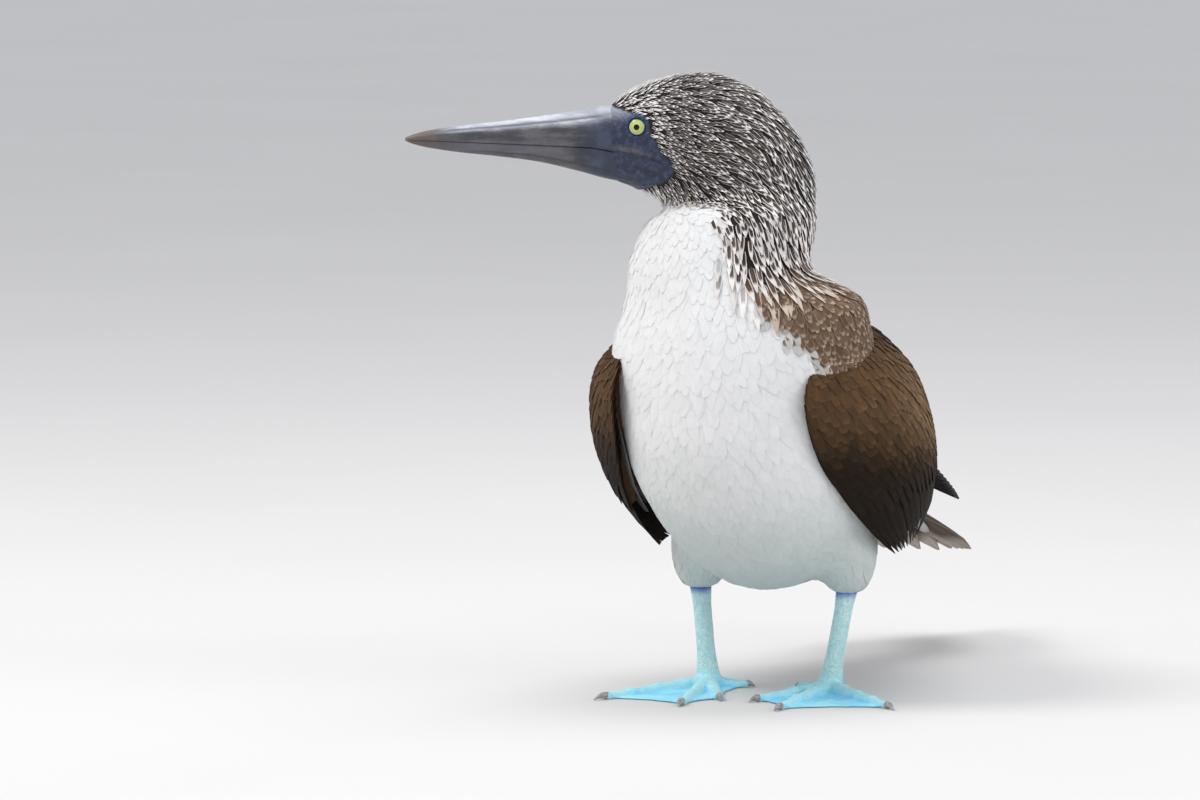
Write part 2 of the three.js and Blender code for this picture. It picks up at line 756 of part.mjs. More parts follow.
addPiece(bodyGroup, "torso", largest(fleshed.subtract(pastCollar)), materials.breast);
const neckPiece = fleshed.intersect(fromCollar).subtract(pastNape);
addPiece(headGroup, "neck", largest(neckPiece), materials.neck);
const billSpace = alongHead(billSections, billSteps, billRound, gap);
const eyeSpaces = joined([eyeball(1, gap), eyeball(-1, gap)]);
const headPiece = fleshed.intersect(fromNape).subtract(billSpace).subtract(eyeSpaces);
addPiece(headGroup, "head", largest(headPiece), materials.head);

const bill = alongHead(billSections, billSteps, billRound, 0);
addPiece(headGroup, "bill_upper", largest(bill.subtract(belowGape(halfGap))), materials.bill);
addPiece(headGroup, "bill_lower", largest(bill.intersect(belowGape(-halfGap))), materials.bill);
addPiece(headGroup, "eye_left", eyeball(1, 0), materials.iris);
addPiece(headGroup, "eye_right", eyeball(-1, 0), materials.iris);

addPiece(bodyGroup, "wing_left", wing(1), materials.wing);
addPiece(bodyGroup, "wing_right", wing(-1), materials.wing);
addPiece(bodyGroup, "tail", tail(), materials.tail);

const shankFoot = above(vec(0, 0, ankle.z), zAxis);
const shankFootUnder = above(vec(0, 0, ankle.z - gap), zAxis);
for (const [name, side] of [
  ["left", 1],
  ["right", -1],
]) {
  const leg = new THREE.Group();
  booby.add(leg);
  const toes = feet[name];
  const upper = thigh(side, 0).subtract(trunk(gap));
  addPiece(leg, "thigh_" + name, largest(upper), materials.thigh);
  const column = shankWhole(side);
  const shank = column.intersect(shankFoot).subtract(thigh(side, gap)).subtract(trunk(gap));
  addPiece(leg, "shank_" + name, largest(shank), materials.leg);
  const toeSolids = Object.values(toes).map((one) => toe(side, one));
  const sole = joined([column.subtract(shankFootUnder), web(side, toes), ...toeSolids]);
  const foot = sole.subtract(shankFootUnder).intersect(floorUp);
  addPiece(leg, "foot_" + name, largest(foot), materials.foot);
  for (const [which, one] of Object.entries(toes))
    addPiece(leg, "claw_" + name + "_" + which, claw(side, one), materials.claw);
}

// The middle of the underside comes to the origin.
booby.updateMatrixWorld(true);
const reach = new THREE.Box3().setFromObject(booby);
const base = reach.getCenter(vec());
booby.position.set(-base.x, -base.y, -reach.min.z);

export default booby;
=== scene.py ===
# A blue-footed booby as a still, life-size model: skin, feathers, bill, eyes and feet over the frame.
import math

import bmesh
import bpy
import numpy as np
from mathutils import Matrix, Vector
from mathutils.bvhtree import BVHTree
from mathutils.kdtree import KDTree


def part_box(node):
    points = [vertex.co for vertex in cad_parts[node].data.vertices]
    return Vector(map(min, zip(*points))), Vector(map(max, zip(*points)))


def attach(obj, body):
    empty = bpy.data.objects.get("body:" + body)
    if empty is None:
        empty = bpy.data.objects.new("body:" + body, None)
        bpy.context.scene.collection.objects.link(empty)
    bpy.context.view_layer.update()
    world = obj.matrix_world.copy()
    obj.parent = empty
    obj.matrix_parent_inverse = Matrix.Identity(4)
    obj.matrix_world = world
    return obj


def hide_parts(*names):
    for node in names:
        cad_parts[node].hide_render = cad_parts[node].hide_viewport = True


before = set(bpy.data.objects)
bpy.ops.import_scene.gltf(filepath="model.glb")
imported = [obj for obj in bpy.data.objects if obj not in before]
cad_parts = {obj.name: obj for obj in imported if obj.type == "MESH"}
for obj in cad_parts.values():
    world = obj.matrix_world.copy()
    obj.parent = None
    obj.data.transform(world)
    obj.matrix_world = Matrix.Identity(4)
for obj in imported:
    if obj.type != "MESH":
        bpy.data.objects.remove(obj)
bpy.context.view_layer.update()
print("frame loaded")

mm = 0.001
rng = np.random.default_rng(20)


# Shader maths: a socket that takes + - and * with numbers or other sockets
class Wire:
    def __init__(self, finish, socket):
        self.finish = finish
        self.socket = socket

    def maths(self, operation, *others):
        return self.finish.node("ShaderNodeMath", {"operation": operation}, dict(enumerate([self, *others])))

    def __add__(self, other):
        return self.maths("ADD", other)

    def __sub__(self, other):
        return self.maths("SUBTRACT", other)

    def __mul__(self, other):
        return self.maths("MULTIPLY", other)

    def __rsub__(self, other):
        return (self * -1) + other

    def clip(self, low, high):
        # 0 below low, 1 above high, smooth between
        settings = {"interpolation_type": "SMOOTHSTEP"}
        inputs = {"Value": self, "From Min": low, "From Max": high}
        return self.finish.node("ShaderNodeMapRange", settings, inputs)

    __radd__ = __add__
    __rmul__ = __mul__


class Finish:
    def __init__(self, name, **constants):
        self.material = bpy.data.materials.new(name)
        self.material.use_nodes = True
        self.tree = self.material.node_tree
        self.tree.nodes.clear()
        self.shader = self.tree.nodes.new("ShaderNodeBsdfPrincipled")
        output = self.tree.nodes.new("ShaderNodeOutputMaterial")
        self.tree.links.new(self.shader.outputs[0], output.inputs[0])
        for socket, value in constants.items():
            self.shader.inputs[socket.replace("_", " ")].default_value = value

    def feed(self, socket, value):
        if isinstance(value, Wire):
            self.tree.links.new(value.socket, socket)
        else:
            socket.default_value = value

    def node(self, kind, settings=None, inputs=None, output=0):
        made = self.tree.nodes.new(kind)
        for key, value in (settings or {}).items():
            setattr(made, key, value)
        for key, value in (inputs or {}).items():
            self.feed(made.inputs[key], value)
        return Wire(self, made.outputs[output])

    def mixed(self, amount, first, second):
        # colours by factor: sockets 6 and 7 are the colour ones
        inputs = {0: amount, 6: rgba(first), 7: rgba(second)}
        return self.node("ShaderNodeMix", {"data_type": "RGBA"}, inputs, 2)

    def attribute(self, name, output="Fac"):
        return self.node("ShaderNodeAttribute", {"attribute_name": name}, output=output)

    def place(self):
        return self.node("ShaderNodeTexCoord", output="Object")

    def stretched(self, scale, turned=(0, 0, 0)):
        inputs = {"Vector": self.place(), "Scale": scale, "Rotation": turned}
        return self.node("ShaderNodeMapping", None, inputs)

    def noise(self, scale, detail=3, roughness=0.5, vector=None):
        inputs = {"Vector": vector or self.place(), "Scale": scale, "Detail": detail, "Roughness": roughness}
        return self.node("ShaderNodeTexNoise", None, inputs)

    def cells(self, scale, feature="F1", vector=None):
        inputs = {"Vector": vector or self.place(), "Scale": scale}
        return self.node("ShaderNodeTexVoronoi", {"feature": feature}, inputs)

    def bump(self, height, distance, strength=1.0):
        inputs = {"Height": height, "Distance": distance, "Strength": strength}
        self.set("Normal", self.node("ShaderNodeBump", None, inputs))

    def set(self, socket, value):
        self.feed(self.shader.inputs[socket], rgba(value) if socket == "Base Color" else value)


def rgba(value):
    return (*value, 1.0) if isinstance(value, (tuple, list)) and len(value) == 3 else value


# The bird's own measures, in millimetres from the point on the floor that the frame was drawn from
bird = {
    "headTurn": 20.0,        # degrees between the beak's line and the side-to-side axis
    "neckAxisY": -41.0,
    "legsMiddle": -1.6,      # X, halfway between the thighs
    "eyeAhead": 53.0,
    "eyeSide": 12.0,
    "eyeTurned": 0.14,       # how far the eyes look ahead, as a slope
    "eyeHeight": 289.3,
    "eyeRadius": 6.4,
}
turn = math.radians(bird["headTurn"])
beakLine = np.array([-math.cos(turn), -math.sin(turn), 0.0])
headSide = np.array([math.sin(turn), -math.cos(turn), 0.0])
neckFoot = np.array([0.0, bird["neckAxisY"], 0.0])


def headPoint(ahead, side, height):
    return neckFoot + beakLine * ahead + headSide * side + np.array([0, 0, height])


eyeLow, eyeHigh = (np.array(corner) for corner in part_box("eye_left"))
drawnFrom = (eyeLow + eyeHigh) / 2 / mm - headPoint(bird["eyeAhead"], bird["eyeSide"], bird["eyeHeight"])


def toScene(points):
    return (np.asarray(points) + drawnFrom) * mm


def toBird(points):
    return np.asarray(points) / mm - drawnFrom


# Mesh helpers
def addObject(name, mesh, material):
    made = bpy.data.objects.new(name, mesh)
    bpy.context.scene.collection.objects.link(made)
    mesh.materials.clear()
    mesh.materials.append(material)
    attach(made, "root")
    return made


def meshFrom(name, points, faces):
    # faces are rows of three or four indices
    faces = np.asarray(faces, dtype=np.int32)
    mesh = bpy.data.meshes.new(name)
    mesh.vertices.add(len(points))
    mesh.vertices.foreach_set("co", np.asarray(points, dtype=np.float32).ravel())
    mesh.loops.add(faces.size)
    mesh.loops.foreach_set("vertex_index", faces.ravel())
    mesh.polygons.add(len(faces))
    mesh.polygons.foreach_set("loop_start", np.arange(len(faces), dtype=np.int32) * faces.shape[1])
    mesh.polygons.foreach_set("use_smooth", np.ones(len(faces), dtype=bool))
    mesh.update(calc_edges=True)
    mesh.validate()
    return mesh


def pointsOf(mesh):
    points = np.empty(len(mesh.vertices) * 3, dtype=np.float32)
    mesh.vertices.foreach_get("co", points)
    return points.reshape(-1, 3).astype(float)


def normalsOf(mesh):
    normals = np.empty(len(mesh.vertices) * 3, dtype=np.float32)
    mesh.vertex_normals.foreach_get("vector", normals)
    return normals.reshape(-1, 3).astype(float)


def movePoints(mesh, points):
    mesh.vertices.foreach_set("co", np.asarray(points, dtype=np.float32).ravel())
    mesh.update()


def paint(mesh, name, values):
    # a colour or a number for each point
    values = np.asarray(values, dtype=np.float32)
    if values.ndim == 2:
        layer = mesh.attributes.new(name, "FLOAT_COLOR", "POINT")
        whole = np.concatenate([values, np.ones((len(values), 1), dtype=np.float32)], axis=1)
        layer.data.foreach_set("color", whole.ravel())
    else:
        mesh.attributes.new(name, "FLOAT", "POINT").data.foreach_set("value", values)


def copiesOf(nodes, grown):
    # copies of a few frame nodes, each grown a little so that they meet
    shell = bmesh.new()
    for node in nodes:
        one = bmesh.new()
        one.from_mesh(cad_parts[node].data)
        bmesh.ops.remove_doubles(one, verts=one.verts, dist=0.01 * mm)
        one.normal_update()
        for vert in one.verts:
            vert.co += vert.normal * grown * mm
        copied = bpy.data.meshes.new(node + "_copy")
        one.to_mesh(copied)
        one.free()
        shell.from_mesh(copied)
        bpy.data.meshes.remove(copied)
    whole = bpy.data.meshes.new("copies")
    shell.to_mesh(whole)
    shell.free()
    return whole


def oneSkin(name, rough, voxel):
    # a single closed skin over everything in a mesh
    holder = bpy.data.objects.new(name + "_rough", rough)
    bpy.context.scene.collection.objects.link(holder)
    remesh = holder.modifiers.new("remesh", "REMESH")
    remesh.mode = "VOXEL"
    remesh.voxel_size = voxel * mm
    bpy.context.view_layer.update()
    ready = holder.evaluated_get(bpy.context.evaluated_depsgraph_get())
    mesh = bpy.data.meshes.new_from_object(ready)
    bpy.data.objects.remove(holder)
    mesh.name = name
    mesh.polygons.foreach_set("use_smooth", np.ones(len(mesh.polygons), dtype=bool))
    return mesh


def smoothed(mesh, points, strength, rounds):
    # each point moved towards the middle of its neighbours, by its own strength
    edges = np.empty(len(mesh.edges) * 2, dtype=np.int32)
    mesh.edges.foreach_get("vertices", edges)
    a, b = edges.reshape(-1, 2).T
    count = len(points)
    links = np.maximum(np.bincount(a, minlength=count) + np.bincount(b, minlength=count), 1)
    for _ in range(rounds):
        middle = np.empty_like(points)
        for k in range(3):
            total = np.bincount(a, points[b, k], count) + np.bincount(b, points[a, k], count)
            middle[:, k] = total / links
        points = points + (middle - points) * strength[:, None]
    return points


def ease(values, start, end):
    # 0 before the start, 1 after the end, smooth between
    share = np.clip((np.asarray(values, dtype=float) - start) / (end - start), 0, 1)
    return share * share * (3 - 2 * share)


def crease(distance, width):
    # 1 on a line, fading on both sides of it
    return np.exp(-((distance / width) ** 2))


def unit(vectors):
    return vectors / np.maximum(np.linalg.norm(vectors, axis=-1, keepdims=True), 1e-9)


def blendColour(first, second, amount):
    return first + (second - first) * np.asarray(amount)[:, None]


# Markings: where the bare face, the streaked neck and the brown back lie
colours = {
    "white": (0.77, 0.77, 0.765),
    "whiteShade": (0.745, 0.75, 0.745),
    "streakDark": (0.018, 0.012, 0.010),
    "streakWarm": (0.12, 0.058, 0.030),
    "streakPale": (0.90, 0.86, 0.83),
    "mantle": (0.135, 0.080, 0.049),
    "mantleFringe": (0.42, 0.31, 0.22),
    "face": (0.019, 0.027, 0.055),
    "faceLight": (0.052, 0.070, 0.125),
    "faceFoldShade": (0.008, 0.012, 0.028),
    "faceCorner": (0.21, 0.19, 0.17),
    "faceCrestHighlight": (0.30, 0.32, 0.39),
    "worn": (0.02, 0.016, 0.013),
    "quill": (0.03, 0.022, 0.018),
    "wing": (0.105, 0.057, 0.026),
    "wingPaintedSheen": (0.27, 0.165, 0.085),
    "wingShoulder": (0.026, 0.017, 0.013),
    "flight": (0.009, 0.006, 0.004),
    "underWing": (0.45, 0.43, 0.40),
    "tail": (0.10, 0.066, 0.045),
    "tailPale": (0.50, 0.44, 0.38),
}
tone = {name: np.array(value) for name, value in colours.items()}
markings = {
    # height of the face's feather edge against its distance ahead of the neck axis
    "faceHeights": [256, 257.9, 260.9, 264.5, 268, 276, 284.6, 294.7, 300.3],
    "faceAhead": [56, 49, 41.6, 37, 35.5, 41, 46.6, 51.7, 67.8],
    "faceSoft": 0.6,
    "faceBase": (247, 252),
    # the white of the throat and breast turns with the neck: heights, its middle and half width in degrees
    "neckHeights": [100, 140, 165, 175, 188, 197, 204, 221, 235, 243, 251],
    "whiteMiddle": [-20, -22, -28, -32, -38, -43, -48, -62, -75, -82, -88],
    "whiteHalf": [125, 112, 83, 72, 69, 70, 66, 67, 71, 67, 58],
    "whiteTop": 251.5,
    # the upright axis that those degrees go round, and the direction they are counted from
    "axisX": ([180, 205, 225, 250], [-2, -7, -10, -2]),
    "axisY": -44.0,
    "front": -70,
    # on the trunk the brown ends along a line that falls towards the tail
    "rearHeight": 118,
    "rearFall": 0.22,
    "rearFrom": 20,
    "trunkBehind": (0, 26),
    "trunkUnder": (150, 185),
    "bellyTop": (92, 104),
    "edgeSoft": 4,
}


def headCoordinates(points):
    away = points - neckFoot
    return away @ beakLine, away @ headSide, points[:, 2]


def bareFace(points):
    ahead, _, height = headCoordinates(points)
    edge = np.interp(height, markings["faceHeights"], markings["faceAhead"])
    soft = markings["faceSoft"]
    return ease(ahead - edge, -soft, soft) * ease(height, *markings["faceBase"])


def brownBack(points, wobble=0):
    # 0 on the white throat, breast and belly, 1 on the streaked neck, mantle and rump
    height = points[:, 2]
    soft = markings["edgeSoft"]
    awayX = points[:, 0] - np.interp(height, *markings["axisX"])
    awayY = points[:, 1] - markings["axisY"]
    angle = np.degrees(np.arctan2(awayY, awayX) - math.radians(markings["front"]))
    middle = np.interp(height, markings["neckHeights"], markings["whiteMiddle"])
    half = np.interp(height, markings["neckHeights"], markings["whiteHalf"])
    off = np.abs((angle - middle + 180) % 360 - 180)
    aroundNeck = ease(off - half + wobble, -soft, soft)
    rearEdge = markings["rearHeight"] - markings["rearFall"] * (points[:, 1] - markings["rearFrom"])
    rear = ease(height - rearEdge + wobble, -soft, soft)
    onTrunk = ease(points[:, 1], *markings["trunkBehind"]) * (1 - ease(height, *markings["trunkUnder"]))
    whole = (aroundNeck * (1 - onTrunk) + rear * onTrunk) * ease(height, *markings["bellyTop"])
    top = markings["whiteTop"]
    return np.maximum(whole, ease(height + wobble * 0.3, top - 1, top + 1))


# Skin
skin = {
    "nodes": ["torso", "neck", "head", "thigh_left", "thigh_right"],
    "voxel": 1.25,
    "grown": 0.25,
    "smoothing": 140,
    "softness": 0.5,
    # where it is smoothed less: by what share, and the heights where that starts and is whole
    "neckFirm": (0.8, 180, 205),
    "headFirm": (0.4, 235, 255),
    "thighFirm": (0.6, 80, 62),
    "faceFirm": 0.92,
    "faceAhead": (38, 52),
    "faceHeights": (240, 250),
    # it lies under its coat, which is thinner at the brow
    "coatDepth": 1.5,
    "browThinner": 0.55,
    "browAhead": (20, 50),
    "browHeights": (250, 262),
    # the face narrows to meet the bill
    "slimAhead": (52, 66.5),
    "slimSides": 0.13,
    "slimHeights": 0.02,
    "slimMiddle": 281.5,
    # under the feathers it has the tone of the mantle below and of the streaks above these heights
    "darkHeights": (186, 206),
}
# folds run back from the mouth's corner, under the jaw and round the eye; they are dented in, and painted
# shade darkens the skin's colour along them by each fold's share of shade
folds = {
    "mouthLine": ([34, 38, 44, 50, 58, 66], [265.5, 269, 272.2, 274.4, 275.9, 276.8]),
    "ahead": (36, 42),
    "mouth": {"deep": 0.95, "wide": 0.85},
    "jaw": {"deep": 0.5, "wide": 1.1, "under": 6.5, "shade": 0.6},
    "brow": {"deep": 0.35, "wide": 0.9, "radius": 8.2, "shade": 0.5},
    "fine": {"deep": 0.13, "pitch": 3.1, "waver": 0.8, "waverPitch": 0.9, "radius": (8, 11)},
    "corner": {"over": 1.6, "wide": 1.5, "ahead": (42, 60)},
    # where the painted highlight lies along the top of the bare face
    "crestHighlight": {"heights": (290, 299.5), "ahead": (50, 62)},
}


def firmed(heights, share, start, end):
    return 1 - share * ease(heights, start, end)


skinMesh = oneSkin("skin", copiesOf(skin["nodes"], skin["grown"]), skin["voxel"])
skinPoints = toBird(pointsOf(skinMesh))
ahead, side, height = headCoordinates(skinPoints)
softness = skin["softness"] * firmed(height, *skin["neckFirm"]) * firmed(height, *skin["headFirm"])
onFace = skin["faceFirm"] * ease(ahead, *skin["faceAhead"]) * ease(height, *skin["faceHeights"])
softness *= (1 - onFace) * firmed(height, *skin["thighFirm"])
skinPoints = smoothed(skinMesh, skinPoints, softness, skin["smoothing"])
movePoints(skinMesh, toScene(skinPoints))
skinNormals = normalsOf(skinMesh)
faceHere = bareFace(skinPoints)
ahead, side, height = headCoordinates(skinPoints)
thinner = skin["browThinner"] * ease(ahead, *skin["browAhead"]) * ease(height, *skin["browHeights"])
depth = skin["coatDepth"] * (1 - faceHere) * (1 - thinner) + skin["grown"]
skinPoints = skinPoints - skinNormals * depth[:, None]
slim = ease(ahead, *skin["slimAhead"])
skinPoints = skinPoints - headSide * (side * slim * skin["slimSides"])[:, None]
skinPoints[:, 2] -= (height - skin["slimMiddle"]) * slim * skin["slimHeights"]
overMouth = height - np.interp(ahead, *folds["mouthLine"])
onFace = ease(ahead, *folds["ahead"]) * faceHere
mouth = crease(overMouth, folds["mouth"]["wide"]) * onFace
jaw = crease(overMouth + folds["jaw"]["under"], folds["jaw"]["wide"]) * onFace
eyeDistance = np.hypot(ahead - bird["eyeAhead"], height - bird["eyeHeight"])
brow = crease(eyeDistance - folds["brow"]["radius"], folds["brow"]["wide"]) * onFace
waver = folds["fine"]["waver"] * np.sin(height * folds["fine"]["waverPitch"])
fine = np.sin(eyeDistance * folds["fine"]["pitch"] + waver) * onFace
fine = fine * ease(eyeDistance, *folds["fine"]["radius"])
dent = sum(folds[key]["deep"] * fold for key, fold in
           (("mouth", mouth), ("jaw", jaw), ("brow", brow), ("fine", fine)))
skinPoints = skinPoints - skinNormals * dent[:, None]
movePoints(skinMesh, toScene(skinPoints))
skinNormals = normalsOf(skinMesh)
under = blendColour(tone["mantle"], tone["streakDark"], ease(skinPoints[:, 2], *skin["darkHeights"]))
base = blendColour(tone["whiteShade"], under, brownBack(skinPoints))
# painted shade along the folds, darkest in the mouth's fold
folded = mouth + folds["jaw"]["shade"] * jaw + folds["brow"]["shade"] * brow
# painted highlight along the top of the bare face, where the bill's painted highlight begins
crestHighlight = ease(height, *folds["crestHighlight"]["heights"]) * ease(ahead, *folds["crestHighlight"]["ahead"]) * faceHere
corner = crease(overMouth - folds["corner"]["over"], folds["corner"]["wide"]) * faceHere
paint(skinMesh, "tint", blendColour(base, tone["face"], faceHere))
paint(skinMesh, "bare", faceHere)
paint(skinMesh, "crestHighlight", crestHighlight)
paint(skinMesh, "folded", np.clip(folded, 0, 1))
paint(skinMesh, "corner", corner * ease(ahead, *folds["corner"]["ahead"]))

skinFinish = Finish("skin", Specular_IOR_Level=0.35)
bareMask = skinFinish.attribute("bare")
mottle = skinFinish.noise(330, 5, 0.6)
faceTone = skinFinish.mixed(mottle.clip(0.40, 0.72), colours["face"], colours["faceLight"])
# painted shade along the folds darkens the face
faceTone = skinFinish.mixed(skinFinish.attribute("folded") * 0.8, faceTone, colours["faceFoldShade"])
faceTone = skinFinish.mixed(skinFinish.attribute("corner") * mottle * 0.7, faceTone, colours["faceCorner"])
# painted highlight along the top of the face
faceTone = skinFinish.mixed(skinFinish.attribute("crestHighlight") * 0.8, faceTone, colours["faceCrestHighlight"])
skinTint = skinFinish.attribute("tint", "Color")
skinFinish.set("Base Color", skinFinish.mixed(bareMask, skinTint, faceTone))
skinFinish.set("Roughness", 0.85 - bareMask * 0.4)
pores = skinFinish.cells(900)
skinFinish.bump(pores * 0.6 + skinFinish.noise(420, 4) * 0.8, 0.0006, 0.55)
skinObject = addObject("skin", skinMesh, skinFinish.material)
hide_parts("torso", "neck", "head", "thigh_left", "thigh_right")
skinTree = BVHTree.FromPolygons(
    [Vector(p) for p in skinPoints],
    [tuple(face.vertices) for face in skinMesh.polygons],
)
skinGrid = KDTree(len(skinPoints))
for index, place in enumerate(skinPoints):
    skinGrid.insert(place, index)
skinGrid.balance()
print("skin", len(skinMesh.vertices))


# Feathers: closed thin vanes over lists of stations
def feathersFrom(name, centres, halves, normals, material, look, rootPlaces, acrossCount=3):
    # centres, halves (half-width vectors) and normals: feathers x stations x 3, in bird millimetres
    count, stations, _ = centres.shape
    lanes = np.linspace(-1, 1, acrossCount)
    handed = np.einsum("ij,ij->i", np.cross(halves[:, 1], centres[:, -1] - centres[:, 0]), normals[:, 1])
    halves = halves * np.sign(handed)[:, None, None]
    width = np.linalg.norm(halves, axis=-1, keepdims=True)
    laneOf = np.concatenate([lanes, lanes[1:-1]])
    rows = []
    for lane in laneOf:
        drop = look["ridge"] * (1 - abs(lane)) - look["cup"] * width * lane * lane
        # the last rows are the under side's
        under = look["thick"] if len(rows) >= acrossCount else 0
        rows.append(centres + halves * lane + normals * (drop - under))
    rings = np.stack(rows, axis=2)
    ringSize = len(rows)
    points = rings.reshape(-1, 3)
    order = list(range(acrossCount)) + list(range(ringSize - 1, acrossCount - 1, -1))
    around = [(order[i], order[(i + 1) % ringSize]) for i in range(ringSize)]
    faces = []
    for k in range(stations - 1):
        here, after = k * ringSize, (k + 1) * ringSize
        for lane, (a, b) in enumerate(around):
            # the under faces are split along the same diagonals as the upper ones
            near, far = (a, b) if lane < acrossCount - 1 else (b, a)
            faces.append([here + a, here + b, after + far])
            faces.append([here + near, after + b, after + a])
    for start, flip in ((0, True), ((stations - 1) * ringSize, False)):
        for i in range(1, ringSize - 1):
            a, b, c = order[0], order[i], order[i + 1]
            faces.append([start + a, start + c, start + b] if flip else [start + a, start + b, start + c])
    one = np.array(faces)
    every = (one[None] + (np.arange(count) * stations * ringSize)[:, None, None]).reshape(-1, 3)
    mesh = meshFrom(name, toScene(points), every)
    if look.get("soft"):
        # the upper faces catch the light as the skin under them does, so that a coat reads as one mass
        lean = halves[:, :, None, :] / width[:, :, None, :] * lanes[:, None] * (1 - look["soft"])
        lean = np.concatenate([lean, lean[:, :, 1:-1]], axis=2)
        upper = unit((lean + normals[:, :, None, :]).reshape(-1, 3))
        lower = unit((lean - normals[:, :, None, :]).reshape(-1, 3))
        underOne = np.zeros(len(one), dtype=bool)
        sides = np.repeat(np.arange(ringSize) >= acrossCount - 1, 2)
        underOne[: len(sides) * (stations - 1)] = np.tile(sides, stations - 1)
        underneath = np.tile(underOne, count)[:, None, None]
        split = np.where(underneath, lower[every], upper[every])
        mesh.normals_split_custom_set(split.reshape(-1, 3).tolist())
    along = np.broadcast_to(np.linspace(0, 1, stations)[None, :, None], (count, stations, ringSize))
    aside = np.broadcast_to(laneOf[None, None, :], (count, stations, ringSize))
    paint(mesh, "along", along.ravel())
    paint(mesh, "across", aside.ravel())
    repeats = stations * ringSize
    for key in ("tint", "edge", "start", "chance"):
        paint(mesh, key, np.repeat(look[key], repeats, axis=0))
    # each vane gets its own small patch of the bake
    bakePatch = 0.003
    layer = mesh.uv_layers.new(name="OFBake")
    spot = np.repeat(rootPlaces, repeats, axis=0)
    spot = spot + bakePatch * np.stack([aside.ravel() * 0.5, along.ravel() - 0.5], axis=1)
    layer.data.foreach_set("uv", np.clip(spot, 0, 1)[every.ravel()].astype(np.float32).ravel())
    return addObject(name, mesh, material)


unwrap = {"low": 40, "tall": 290, "front": 110, "long": 260, "middleY": 20, "margin": 0.02, "room": 0.96,
          "byHeight": 0.7, "byLength": 0.3}


def bodyPlaces(points):
    # an unwrap of the body's own shape: round the neck and trunk, and along them from face to tail
    heightShare = np.clip((points[:, 2] - unwrap["low"]) / unwrap["tall"], 0, 1)
    trunkShare = np.clip((points[:, 1] + unwrap["front"]) / unwrap["long"], 0, 1)
    around = np.arctan2(points[:, 0], -(points[:, 1] + unwrap["middleY"])) / (2 * math.pi) + 0.5
    up = unwrap["byHeight"] * heightShare + unwrap["byLength"] * (1 - trunkShare)
    return unwrap["margin"] + unwrap["room"] * np.stack([around, up], axis=1)


def scatter(points, spacing, allowed):
    # points kept at least their own spacing apart, in a seeded order
    free = allowed.copy()
    kept = []
    for index in rng.permutation(np.flatnonzero(allowed)):
        if free[index]:
            kept.append(index)
            for _, near, _ in skinGrid.find_range(Vector(points[index]), float(spacing[index])):
                free[near] = False
    return np.array(kept)


# The ways that the coat runs: back from the bill, down the neck, then down and back over the trunk
lie = {
    "crownDrop": 0.38,
    "napeBack": 0.35,
    "neck": (0.0, 0.12, -1.0),
    "trunk": (0.0, 0.82, -0.58),
    "leg": (0.0, 0.1, -1.0),
    # where each passes into the next
    "napeAhead": (18, -26),
    "headHeights": (226, 276),
    "neckHeights": (168, 206),
    "legHeights": (74, 58),
    "legApart": 20,
    "tipCurve": 0.8,         # a feather rises early along its length when this is under 1
}


def lieOf(points):
    ahead, _, height = headCoordinates(points)
    overHead = -beakLine + np.array([0, 0, -lie["crownDrop"]])
    downNape = np.array([0.0, 0.0, -1.0]) - lie["napeBack"] * beakLine
    back = ease(ahead, *lie["napeAhead"])[:, None]
    head = overHead * (1 - back) + downNape * back
    headShare = ease(height, *lie["headHeights"])[:, None]
    neckShare = ease(height, *lie["neckHeights"])[:, None]
    flow = np.array(lie["trunk"]) * (1 - neckShare) + np.array(lie["neck"]) * neckShare
    flow = flow * (1 - headShare) + head * headShare
    apart = np.abs(points[:, 0] - bird["legsMiddle"]) > lie["legApart"]
    legs = ease(height, *lie["legHeights"])[:, None] * apart[:, None]
    return unit(flow * (1 - legs) + np.array(lie["leg"]) * legs)


def walk(roots, lies, lengths, stations, rise, sunk):
    # stations along each feather, walked over the skin, at a height that grows towards the tip
    count = len(roots)
    centres = np.empty((count, stations, 3))
    normals = np.empty((count, stations, 3))
    ways = np.empty((count, stations, 3))
    shares = np.linspace(0, 1, stations)
    for i in range(count):
        place = Vector(roots[i])
        way = Vector(lies[i])
        step = lengths[i] / (stations - 1)
        for k in range(stations):
            if k:
                place = place + way * step
            found, normal, _, _ = skinTree.find_nearest(place)
            way = (way - normal * way.dot(normal)).normalized()
            place = found
            centres[i, k] = found
            normals[i, k] = normal
            ways[i, k] = way
    heights = rise[:, None] * shares[None, :] ** lie["tipCurve"] - sunk
    centres += normals * heights[:, :, None]
    return centres, normals, ways


def outline(profile, stations):
    shares = np.linspace(0, 1, stations)
    return np.interp(shares, np.linspace(0, 1, len(profile)), profile)


def coatFinish(name, shine, gloss, barb, worn, shaft, relief):
    finish = Finish(name, Specular_IOR_Level=gloss)
    along, across = finish.attribute("along"), finish.attribute("across")
    start, chance = finish.attribute("start"), finish.attribute("chance")
    middle = across.maths("ABSOLUTE")
    reach = along.maths("MAXIMUM", middle * 0.96)
    fringe = (reach - start).clip(0.0, 0.16)
    tint, edge = finish.attribute("tint", "Color"), finish.attribute("edge", "Color")
    patches = finish.noise(260, 3)
    laid = finish.node("ShaderNodeCombineXYZ", None, {0: across * 5, 1: along * 1.2, 2: chance * 90})
    barbs = finish.noise(1.0, 4, 0.6, laid)
    colour = finish.mixed(fringe, tint, edge)
    colour = finish.mixed(barbs.clip(0.35, 0.7) * worn, colour, edge)
    shade = (patches * 0.5 + chance * 0.5).clip(0.25, 0.8) * worn
    colour = finish.mixed(shade, colour, colours["worn"])
    quill = (1 - middle.clip(0.02, 0.12)) * along.clip(1.0, 0.7)
    finish.set("Base Color", finish.mixed(quill * shaft, colour, colours["quill"]))
    finish.set("Roughness", shine + patches * 0.2)
    wave = ((along * barb) + middle * (barb * 0.35)).maths("SINE")
    finish.bump(wave * 0.4 + barbs * 0.8 - middle * 0.3, 0.00022, relief)
    return finish.material


